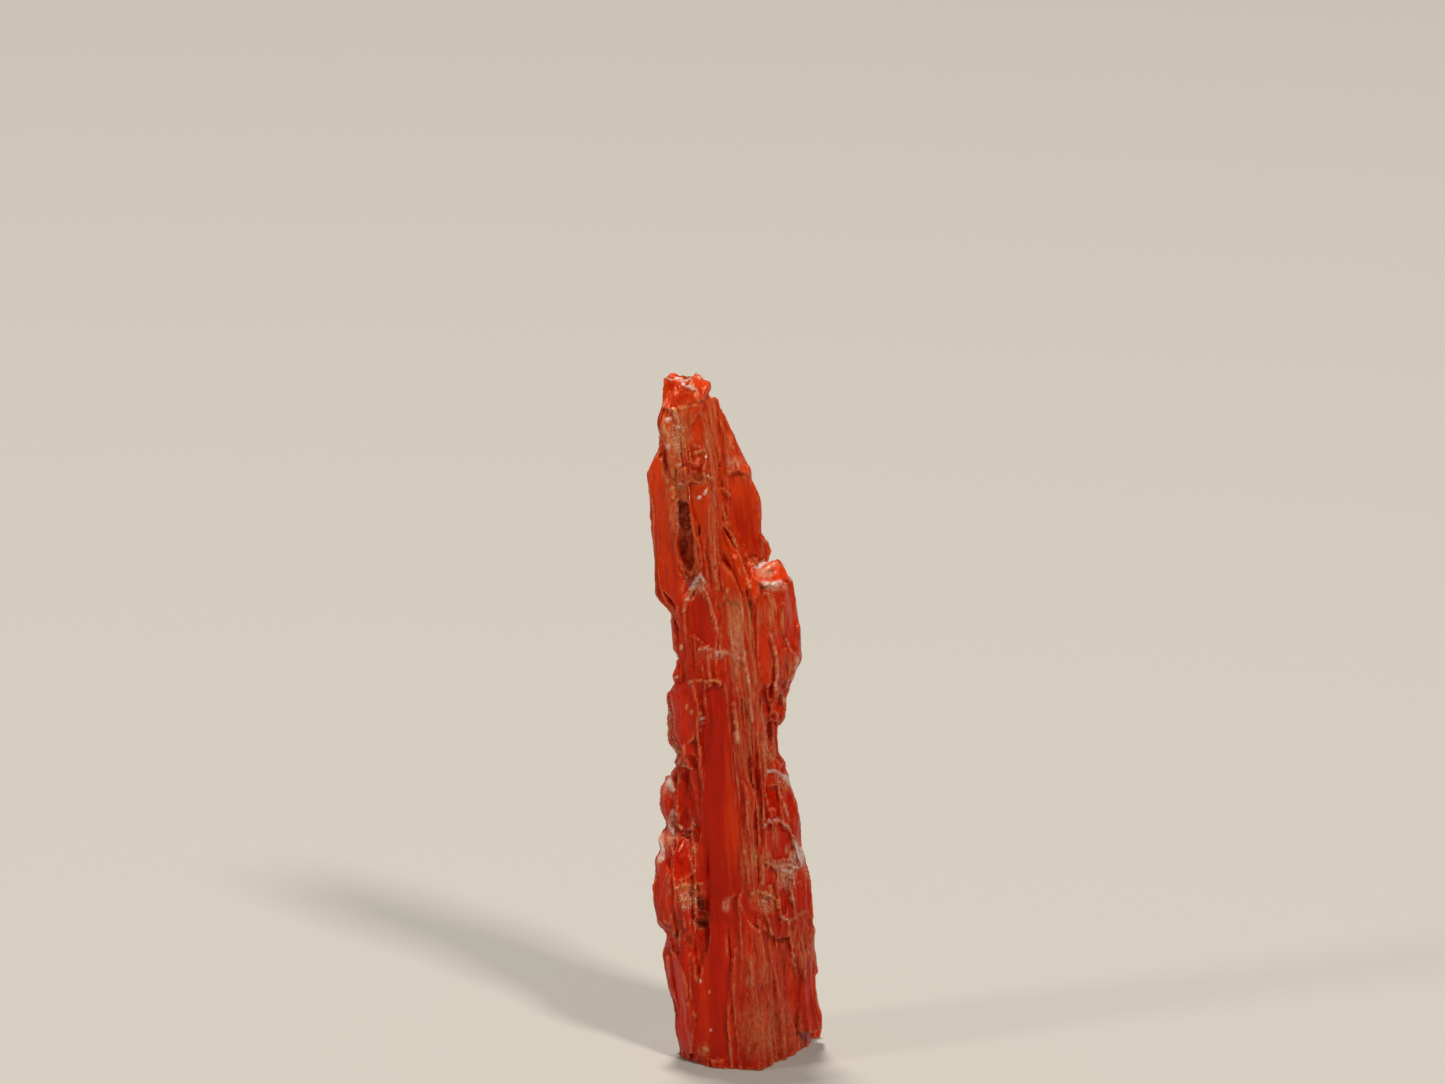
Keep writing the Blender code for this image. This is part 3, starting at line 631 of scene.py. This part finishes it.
def read_normals(mesh):
    flat = np.empty(len(mesh.vertices) * 3, dtype=np.float32)
    mesh.vertex_normals.foreach_get("vector", flat)
    return flat.reshape(-1, 3).astype(np.float64)


def read_edges(mesh):
    flat = np.empty(len(mesh.edges) * 2, dtype=np.int32)
    mesh.edges.foreach_get("vertices", flat)
    return flat.reshape(-1, 2)


def write_points(mesh, points):
    mesh.vertices.foreach_set("co", points.astype(np.float32).ravel())
    mesh.update()


def spread(values, edges, rounds):
    """Values averaged with their neighbours along the mesh, a number of times over."""
    count = np.bincount(edges.ravel(), minlength=len(values)).astype(np.float64) + 1
    flat = values.reshape(len(values), -1)
    for _ in range(rounds):
        total = flat.copy()
        for column in range(flat.shape[1]):
            total[:, column] += np.bincount(edges[:, 0], flat[edges[:, 1], column], len(flat))
            total[:, column] += np.bincount(edges[:, 1], flat[edges[:, 0], column], len(flat))
        flat = total / count[:, None]
    return flat.reshape(values.shape)


def frame_places(points):
    """Where points fall in the photograph's frame, in its pixels."""
    camera = np.array(VIEW_CENTRE) + CAMERA_DISTANCE * TO_CAMERA
    away = points - camera
    depth = away @ -TO_CAMERA
    pixels = FRAME_PIXELS[0] * LENS / SENSOR
    across = FRAME_PIXELS[0] / 2 + pixels * away[:, 0] / depth
    down = FRAME_PIXELS[1] / 2 - pixels * (away @ VIEW_UP) / depth
    return np.stack((across, down), axis=1)


def ray_lengths(tree, starts, directions, farthest):
    """How far each ray runs before it meets the mesh."""
    lengths = np.full(len(starts), farthest)
    for index, (start, direction) in enumerate(zip(starts, directions)):
        distance = tree.ray_cast(Vector(start), Vector(direction), farthest)[3]
        if distance is not None:
            lengths[index] = distance
    return lengths


def to_plane(places, points, share, depth):
    """How far toward the camera each point has to move to lie in the chosen ones' plane, set back."""
    chosen = share > 0.3
    height = points @ TO_CAMERA
    flat = np.column_stack((places, np.ones(len(places))))
    plane = np.linalg.lstsq(flat[chosen], height[chosen], rcond=None)[0]
    return flat @ plane - depth - height


class Tones:
    """How much of each tone every point has."""

    def __init__(self, count):
        self.shares = {tone: np.zeros(count) for tone in TONES}

    def add(self, tone, share):
        """Lays a tone over the others. Red is the crystal's own, so it only takes the other reds away."""
        if tone == "red":
            for other in ("deep", "bright", "pink"):
                self.shares[other] *= 1 - share
            return
        self.shares[tone] = np.maximum(self.shares[tone], share)
        for other in TONES:
            if other != tone:
                self.shares[other] *= 1 - 0.7 * share


class Growth:
    """The crystal's fine relief and its tones, worked out for every point of the fine mesh."""

    def __init__(self, mesh):
        self.mesh = mesh
        self.points = read_points(mesh)
        self.edges = read_edges(mesh)
        normals = spread(read_normals(mesh), self.edges, 2)
        self.normals = normals / np.linalg.norm(normals, axis=1)[:, None]
        self.places = frame_places(self.points)
        self.upright = self.points.copy()
        self.upright[:, 0] += LEAN * self.points[:, 2]
        self.tones = Tones(len(self.points))
        self.wide, self.wide_edge, _ = columns(self.upright, *WIDE_COLUMNS)
        self.narrow, self.narrow_edge, _ = columns(self.upright, *NARROW_COLUMNS)
        self.streaky = smooth_step(-0.5, 0.5, fractal(self.upright, *STREAKS))

    def look_through(self):
        """Finds what the camera sees, and how thick the crystal is behind and straight under each point."""
        corners = [tuple(point) for point in self.points]
        tree = BVHTree.FromPolygons(corners, [tuple(face.vertices) for face in self.mesh.polygons])
        toward = np.tile(TO_CAMERA, (len(self.points), 1))
        outside = self.points + self.normals * OUTSIDE + toward * OUTSIDE
        clear_way = ray_lengths(tree, outside, toward, CLEAR_WAY)
        seen = spread(np.where(clear_way < CLEAR_WAY, 0.0, 1.0), self.edges, 2)
        self.front = seen * smooth_step(0.05, 0.35, self.normals @ TO_CAMERA)
        self.lift = smooth_step(0.15, 0.6, self.normals @ TO_CAMERA)
        within = self.points - self.normals * INSIDE
        self.behind = ray_lengths(tree, within - toward * 2 * INSIDE, -toward, THICKEST)
        thick = ray_lengths(tree, within, -self.normals, THICKEST)
        self.thick = spread(thick, self.edges, 2)

    def find_calm(self):
        """Where the relief is calm: in the panes, and in some wide columns, mostly those out of sight."""
        flat = smooth_step(0.48, 0.62, self.wide) * smooth_step(0.0, 0.2, self.wide_edge)
        self.calm = flat * (1 - 0.6 * self.front)
        for corners, _, _ in PANES:
            self.calm = np.maximum(self.calm, inside(self.places, corners, 2.0) * self.front)

    def find_rough(self):
        """Where the crust is rough: at listed places on the front, by noise elsewhere, and less so on top."""
        rough = np.full(len(self.points), LEAST_ROUGH)
        for centre, radii, share in ROUGH_PLACES:
            rough = np.maximum(rough, share * spot(self.places, centre, radii) * self.front)
        back_rough = smooth_step(-0.1, 0.6, fractal(self.points, *BACK_CRUST)) * (1 - self.front)
        rough = np.maximum(rough, LEAST_ROUGH + 0.5 * back_rough) * (1 - 0.8 * self.calm)
        self.rough = rough * (1 - 0.6 * smooth_step(0.3, 0.8, self.normals[:, 2]))
        self.crumbly = smooth_step(0.55, 0.95, self.rough)

    def grow_relief(self):
        """Moves the points along their normals by the columns and striations, the ledges and the crumbs."""
        out = WIDE_HEIGHT * (self.wide - 0.5) * smooth_step(0.0, 0.06, self.wide_edge)
        out += NARROW_HEIGHT * (self.narrow - 0.5) * smooth_step(0.0, 0.10, self.narrow_edge)
        out += COARSE_HEIGHT * ridged(self.upright, *COARSE_STRIATIONS)
        out += FINE_HEIGHT * ridged(self.upright, *FINE_STRIATIONS)
        out *= 1 - 0.6 * self.calm
        out = np.where(out > 0, 0.55 * out, out) - 0.01

        # The ledges are noise cut into steps
        swell = fractal(self.upright, *LEDGES) * LEDGE_STEPS
        level = np.floor(swell)
        part = swell - level
        out += LEDGE_HEIGHT * (level + smooth_step(0.0, 0.25, part) - 0.5) * self.rough
        self.ledge_rim = (1 - smooth_step(0.0, 0.22, np.abs(part - 0.18))) * self.rough

        self.crumb, crumb_edge, _ = columns(self.upright, *CRUMBS)
        out += CRUMB_HEIGHT * (self.crumb - 0.4) * smooth_step(0.0, 0.3, crumb_edge) * self.crumbly
        self.moved = self.points + self.normals * out[:, None]

    def place_by_hand(self):
        """Places the outline's small moves and the front's panes, hollows, patches of stain and painted
        light, raised lines and knobs.
        """
        for centre, radii, across, up in NUDGES:
            self.moved += spot(self.places, centre, radii)[:, None] * np.array((across, 0.0, up))
        shift = np.stack((noise(self.points, *WANDER_ACROSS), noise(self.points, *WANDER_DOWN)), axis=1)
        wander = self.places + WANDER * shift
        feathered = self.places.copy()
        feathered[:, 0] += FEATHER * fractal(self.upright, *FEATHERS)

        for corners, depth, tone in PANES:
            share = inside(wander, corners, 3.0) * self.front
            change = to_plane(self.places, self.moved, share, depth)
            change = np.clip(change, -0.45 * self.behind, FARTHEST_MOVE)
            self.moved = self.moved + (0.75 * share * change)[:, None] * TO_CAMERA
            self.tones.add(tone, inside(feathered, corners, 6.0) * self.front * (0.6 + 0.4 * self.streaky))
        self.reach = SWELL_HEIGHT * fractal(self.upright, *PANE_SWELL) * self.calm * self.lift
        for centre, radii, depth, tone in HOLLOWS:
            share = spot(self.places, centre, radii) * self.front
            self.reach -= np.minimum(depth, 0.4 * self.behind) * share
            self.tones.add(tone, smooth_step(0.1, 0.5, share))
        # Patches of stain, and of painted shade, glow, sheen and highlight
        for centre, radii, share, tone in STAINS_AND_PAINTED_LIGHT:
            self.tones.add(tone, share * spot(feathered, centre, radii) ** 0.5 * self.front)
        broken = smooth_step(-0.4, 0.4, fractal(self.points, *BROKEN_LINES))
        for line, half_width, height, tone in RIDGES:
            share = along_line(wander, line, half_width) * self.front
            self.reach += 0.9 * height * share * self.lift * (0.4 + 0.6 * broken)
            self.tones.add(tone, smooth_step(0.2, 0.8, share) * (0.3 + 0.7 * broken))
        for centre, radii, height, tone in KNOBS:
            share = spot(wander, centre, radii) * self.front
            self.reach += height * share * self.lift
            self.tones.add(tone, smooth_step(0.15, 0.5, share))

    def scatter_crumbs(self):
        """Scatters yellow and white crumbs, partly painted glints, through the crust and along the pale
        raised lines.
        """
        near_lines = np.zeros(len(self.points))
        for line, half_width, _, tone in RIDGES:
            if tone in ("pale", "tan", "white"):
                near = along_line(self.places, line, half_width + 2.0)
                near_lines = np.maximum(near_lines, near * self.front)
        pick, _, middle = columns(self.upright, *BRIGHT_CRUMBS)
        scatter = smooth_step(0.35, 0.75, np.maximum(self.rough, 0.8 * near_lines)) * (1 - 0.8 * self.calm)
        bright = smooth_step(0.42, 0.18, middle) * scatter
        yellow = (pick > YELLOW_FROM) & (pick <= WHITE_FROM)
        self.reach += BRIGHT_CRUMB_HEIGHT * bright * self.lift * (pick > YELLOW_FROM)
        self.tones.add("yellow", 0.85 * bright * yellow)
        self.tones.add("white", 0.95 * bright * (pick > WHITE_FROM))

    def settle(self):
        """Moves the points to their places, with the foot kept flat, and finds their edges and hollows."""
        self.moved += self.reach[:, None] * TO_CAMERA
        grounded = self.points[:, 2] < FOOT_FLAT
        self.moved[grounded, 2] = self.points[grounded, 2]
        write_points(self.mesh, self.moved)
        self.top = read_normals(self.mesh)[:, 2]
        rounded = spread(self.moved, self.edges, 3)
        stands_out = np.einsum("ij,ij->i", self.moved - rounded, self.normals)
        # The edge share carries painted highlights and glints, the hollow share painted shade and brown crust
        self.tones.shares["edge"] = smooth_step(0.006, 0.03, stands_out)
        self.tones.shares["hollow"] = smooth_step(0.006, 0.03, -stands_out)

    def tone_unseen(self):
        """Gives what the photograph doesn't show the same tones, grown from noise."""
        unseen = 1 - self.front
        hollow = self.tones.shares["hollow"]
        sheen = smooth_step(-0.1, 0.6, noise(self.upright, *SHEEN))
        self.tones.add("pink", 0.55 * sheen * self.streaky * unseen)
        crusty = fractal(self.upright, *COARSE_CRUST) + 0.9 * fractal(self.upright, *FINE_CRUST)
        crusty = smooth_step(0.5, 1.2, crusty + 0.6 * hollow) * smooth_step(0.35, 0.7, self.rough)
        self.tones.add("tan", 0.8 * crusty * unseen)
        smooth_red = self.calm * unseen
        self.tones.add("deep", smooth_red * (self.wide > 0.8))
        self.tones.add("bright", 0.7 * smooth_red * (self.wide <= 0.62))
        self.tones.add("brown", 0.8 * smooth_step(0.6, 1.0, crusty) * hollow * unseen)

    def tone_relief(self):
        """Paints pale highlights on ledge rims and up-facing rough places and a glow on thin blades, and
        keeps the shares that the material's grain needs.
        """
        # Painted highlights: pale on ledge rims and on rough places that face up
        self.tones.add("pale", 0.5 * self.ledge_rim * smooth_step(0.3, 0.8, self.rough))
        self.tones.add("pale", 0.5 * smooth_step(0.4, 0.8, self.top) * smooth_step(0.35, 0.8, self.rough))
        self.tones.add("tan", 0.6 * self.crumbly * smooth_step(0.4, 0.8, self.crumb))
        shares = self.tones.shares
        # Painted glow where the crystal is thin
        shares["glow"] = 1 - smooth_step(0.3, 1.6, self.thick)
        shares["crust"] = np.clip(self.rough, 0.0, 1.0)
        shares["strand"] = 0.5 * self.narrow + 0.5 * self.wide
        shares["thread"] = np.clip(0.35 + 0.8 * shares["pink"] - 0.3 * self.calm, 0.05, 1.0)

    def store_colours(self):
        """Stores the shares on the mesh, up to three to a colour attribute."""
        for name, tones in COLOUR_LAYERS.items():
            layer = self.mesh.attributes.new(name, "FLOAT_COLOR", "POINT")
            colours = np.ones((len(self.points), 4), dtype=np.float32)
            for channel, tone in enumerate(tones):
                colours[:, channel] = self.tones.shares[tone]
            layer.data.foreach_set("color", colours.ravel())

    def run(self):
        self.look_through()
        self.find_calm()
        self.find_rough()
        self.grow_relief()
        self.place_by_hand()
        self.scatter_crumbs()
        self.settle()
        self.tone_unseen()
        self.tone_relief()
        self.store_colours()


def keep_inside(mesh, low, high):
    """Holds the fine mesh inside the solid's own box, and on the ground."""
    low = np.array(low) / MM
    high = np.array(high) / MM
    points = np.clip(read_points(mesh), low - BOX_MARGIN, high + BOX_MARGIN)
    points[:, 2] = np.maximum(points[:, 2], low[2])
    write_points(mesh, points)


class Nodes:
    """Short ways to add and join a material's nodes."""

    def __init__(self, material):
        self.tree = material.node_tree
        self.tree.nodes.clear()

    def add(self, kind, **settings):
        node = self.tree.nodes.new(kind)
        for name, value in settings.items():
            setattr(node, name, value)
        return node

    def join(self, start, end):
        self.tree.links.new(start, end)

    def put(self, value, socket):
        if isinstance(value, bpy.types.NodeSocket):
            self.join(value, socket)
        else:
            socket.default_value = value

    def fill(self, node, values):
        for name, value in values.items():
            self.put(value, node.inputs[name])

    def maths(self, operation, first, second):
        node = self.add("ShaderNodeMath", operation=operation)
        self.put(first, node.inputs[0])
        self.put(second, node.inputs[1])
        return node.outputs[0]

    def sum(self, first, second):
        return self.maths("ADD", first, second)

    def product(self, first, *others):
        for other in others:
            first = self.maths("MULTIPLY", first, other)
        return first

    def step(self, value, low, high, to_low=0.0, to_high=1.0):
        node = self.add("ShaderNodeMapRange", interpolation_type="SMOOTHSTEP")
        self.fill(node, {"Value": value, "From Min": low, "From Max": high})
        self.fill(node, {"To Min": to_low, "To Max": to_high})
        return node.outputs["Result"]

    def over(self, colour, tone, *shares):
        """Lays a tone over a colour, by the product of the shares."""
        node = self.add("ShaderNodeMix", data_type="RGBA")
        self.put(self.product(*shares), node.inputs[0])
        self.put(colour, node.inputs[6])
        self.put(tone, node.inputs[7])
        return node.outputs[2]

    def place(self):
        """The x, y and z of a place in the crystal, in metres."""
        split = self.add("ShaderNodeSeparateXYZ")
        self.join(self.add("ShaderNodeTexCoord").outputs["Object"], split.inputs[0])
        return tuple(split.outputs)

    def noise(self, scale, detail, roughness):
        """Noise with its own scale along each axis, that follows the crystal's lean."""
        x, y, z = self.place()
        upright = (self.sum(x, self.product(z, LEAN)), y, z)
        joined = self.add("ShaderNodeCombineXYZ")
        for value, factor, socket in zip(upright, scale, joined.inputs):
            self.join(self.product(value, factor), socket)
        node = self.add("ShaderNodeTexNoise")
        self.fill(node, {"Vector": joined.outputs[0], "Scale": 1.0, "Detail": detail, "Roughness": roughness})
        return node.outputs["Fac"]

    def stored_shares(self):
        """The shares that the mesh's colour attributes hold, by name."""
        shares = {}
        for name, tones in COLOUR_LAYERS.items():
            layer = self.add("ShaderNodeAttribute", attribute_name=name)
            split = self.add("ShaderNodeSeparateColor")
            self.join(layer.outputs["Color"], split.inputs[0])
            shares.update(zip(tones, split.outputs))
        return shares


def mixed_colour(nodes, share, grain):
    """The colour: the crystal's reds, then the painted shade and highlight of its relief and darker patches,
    then the tones, then grit and painted glints and sparks.
    """
    threads, streaks, clouds, grains, grit = (
        grain[name] for name in ("threads", "streaks", "clouds", "grains", "grit")
    )
    variation = nodes.sum(nodes.product(streaks, 0.9), nodes.product(share["strand"], 0.4))
    variation = nodes.sum(variation, nodes.product(nodes.sum(clouds, -0.5), 0.6))
    upper = nodes.step(nodes.place()[2], *ORANGE_FROM_TO)
    colour = nodes.over(RED, RED_DARK, nodes.step(variation, 0.50, 0.76))
    colour = nodes.over(colour, DEEP_AND_SHADE, nodes.step(clouds, 0.46, 0.30, 0.0, 0.6))
    colour = nodes.over(colour, ORANGE, upper, 0.7)
    colour = nodes.over(colour, GLOW, share["glow"], 0.7)

    colour = nodes.over(colour, SHADE, nodes.step(threads, 0.56, 0.38), share["thread"], 0.5)
    colour = nodes.over(colour, SHADE, nodes.step(grain["mottle"], 0.50, 0.32), 0.35)
    colour = nodes.over(colour, SHADE, share["hollow"], 0.6)
    # Painted highlight on raised edges
    colour = nodes.over(colour, EDGE_HIGHLIGHT, share["edge"], 0.6)

    thready = nodes.step(nodes.sum(nodes.product(threads, 0.6), nodes.product(streaks, 0.4)), 0.44, 0.58)
    # Deep red, partly painted shade
    colour = nodes.over(colour, DEEP_AND_SHADE, share["deep"], nodes.step(streaks, 0.60, 0.42, 0.35, 0.95))
    # Orange-red, partly painted glow and highlight
    colour = nodes.over(colour, BRIGHT_AND_GLOW, share["bright"], nodes.step(streaks, 0.40, 0.62, 0.25, 0.95))
    # Painted sheen, pink, on striated places
    colour = nodes.over(colour, PINK_SHEEN, share["pink"], thready)
    colour = nodes.over(colour, TAN, share["tan"], nodes.step(grains, 0.38, 0.6, 0.1, 1.0))
    colour = nodes.over(colour, BROWN, share["brown"], nodes.step(grains, 0.42, 0.58, 1.0, 0.15))
    # Pale crust and painted highlights
    colour = nodes.over(colour, PALE_AND_HIGHLIGHTS, share["pale"], nodes.step(grains, 0.35, 0.6, 0.2, 0.9))
    # White specks and painted glints
    colour = nodes.over(colour, WHITE_AND_GLINTS, share["white"], nodes.step(grit, 0.38, 0.54, 0.35, 1.0))
    colour = nodes.over(colour, YELLOW, share["yellow"])

    crust = share["crust"]
    clean = nodes.maths("SUBTRACT", 1.0, share["brown"])
    colour = nodes.over(colour, TAN, nodes.step(crust, 0.42, 0.75), nodes.step(grit, 0.50, 0.62), 0.7)
    # Painted glints along raised edges
    colour = nodes.over(colour, PALE_AND_HIGHLIGHTS, share["edge"], nodes.step(grit, 0.55, 0.63, 0.0, 0.7))
    # White sparks in the crust, partly painted glints
    return nodes.over(colour, WHITE_AND_GLINTS, nodes.step(crust, 0.38, 0.75), nodes.step(grit, 0.59, 0.64), clean)


def mixed_roughness(nodes, share, grain):
    """How dull the surface is: patchy, more where it is threaded, tan or brown, and less where white."""
    rough = nodes.step(grain["mottle"], 0.35, 0.65, 0.12, 0.26)
    for tone, amount in (("thread", 0.12), ("tan", 0.25), ("brown", 0.3), ("white", -0.12)):
        rough = nodes.sum(rough, nodes.product(share[tone], amount))
    return nodes.maths("MAXIMUM", rough, GLOSSIEST)


def fine_bump(nodes, share, grain):
    """A bump finer than the mesh: threads along the crystal, and grit in its crust."""
    height = nodes.product(nodes.sum(grain["threads"], grain["streaks"]), share["thread"], 0.9)
    height = nodes.sum(height, nodes.product(grain["grains"], 0.15))
    height = nodes.sum(height, nodes.product(grain["grit"], share["crust"], 0.6))
    bump = nodes.add("ShaderNodeBump")
    nodes.fill(bump, {"Strength": BUMP_STRENGTH, "Distance": BUMP_DISTANCE, "Height": height})
    return bump.outputs[0]


def crocoite():
    """The crystal's one material, see-through and toned by the shares that the mesh holds."""
    material = bpy.data.materials.new("crocoite")
    material.use_nodes = True
    nodes = Nodes(material)
    shader = nodes.add("ShaderNodeBsdfPrincipled")
    depth = nodes.add("ShaderNodeVolumeAbsorption")
    output = nodes.add("ShaderNodeOutputMaterial")
    share = nodes.stored_shares()
    grain = {name: nodes.noise(*settings) for name, settings in GRAINS.items()}
    nodes.fill(shader, SHADER)
    nodes.fill(depth, ABSORPTION)
    nodes.join(mixed_colour(nodes, share, grain), shader.inputs["Base Color"])
    nodes.join(mixed_roughness(nodes, share, grain), shader.inputs["Roughness"])
    nodes.join(fine_bump(nodes, share, grain), shader.inputs["Normal"])
    nodes.join(shader.outputs[0], output.inputs["Surface"])
    nodes.join(depth.outputs[0], output.inputs["Volume"])
    return material


def add_crystal(mesh):
    """Puts the finished surface in the scene, in metres, in place of the solid."""
    mesh.transform(((MM, 0, 0, 0), (0, MM, 0, 0), (0, 0, MM, 0), (0, 0, 0, 1)))
    mesh.name = PIECE
    mesh.shade_smooth()
    mesh.set_sharp_from_angle(angle=SHARP_ANGLE)
    mesh.materials.clear()
    mesh.materials.append(crocoite())
    piece = bpy.data.objects.new(PIECE, mesh)
    bpy.context.scene.collection.objects.link(piece)
    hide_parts(NODE)
    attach(piece, "root")


def add_floor():
    mesh = bpy.data.meshes.new("floor")
    corners = [(x * FLOOR_REACH, y * FLOOR_REACH, 0) for x, y in ((-1, -1), (1, -1), (1, 1), (-1, 1))]
    mesh.from_pydata(corners, [], [(0, 1, 2, 3)])
    floor = bpy.data.objects.new("floor", mesh)
    bpy.context.scene.collection.objects.link(floor)
    material = bpy.data.materials.new("pale_floor")
    material.use_nodes = True
    shader = material.node_tree.nodes["Principled BSDF"]
    shader.inputs["Base Color"].default_value = FLOOR_COLOUR
    shader.inputs["Roughness"].default_value = FLOOR_ROUGHNESS
    mesh.materials.append(material)


def add_lamps():
    for name, (place, aim, size, power) in LAMPS.items():
        light = bpy.data.lights.new(name, "AREA")
        light.size = size * MM
        light.energy = power
        light.color = LAMP_COLOUR
        lamp = bpy.data.objects.new(name, light)
        bpy.context.scene.collection.objects.link(lamp)
        lamp.location = Vector(place) * MM
        lamp.rotation_euler = (Vector(place) - Vector(aim)).to_track_quat("Z", "Y").to_euler()


def add_camera():
    camera = bpy.data.cameras.new("camera")
    camera.lens = LENS
    camera.sensor_width = SENSOR
    camera.clip_start = NEAREST_SEEN
    camera.clip_end = FARTHEST_SEEN
    eye = bpy.data.objects.new("camera", camera)
    bpy.context.scene.collection.objects.link(eye)
    away = Vector(TO_CAMERA) * CAMERA_DISTANCE
    eye.location = (Vector(VIEW_CENTRE) + away) * MM
    eye.rotation_euler = away.to_track_quat("Z", "Y").to_euler()
    bpy.context.scene.camera = eye


def add_world():
    world = bpy.data.worlds.new("studio")
    world.use_nodes = True
    sky = world.node_tree.nodes["Background"]
    sky.inputs["Color"].default_value = SKY_COLOUR
    sky.inputs["Strength"].default_value = SKY_STRENGTH
    bpy.context.scene.world = world
    bpy.context.scene.view_settings.view_transform = "Standard"


def main():
    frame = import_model()
    cad_low, cad_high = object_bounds()
    mesh = working_mesh(frame["nodes"][NODE])
    Growth(mesh).run()
    keep_inside(mesh, cad_low, cad_high)
    add_crystal(mesh)
    add_floor()
    add_lamps()
    add_world()
    add_camera()


main()
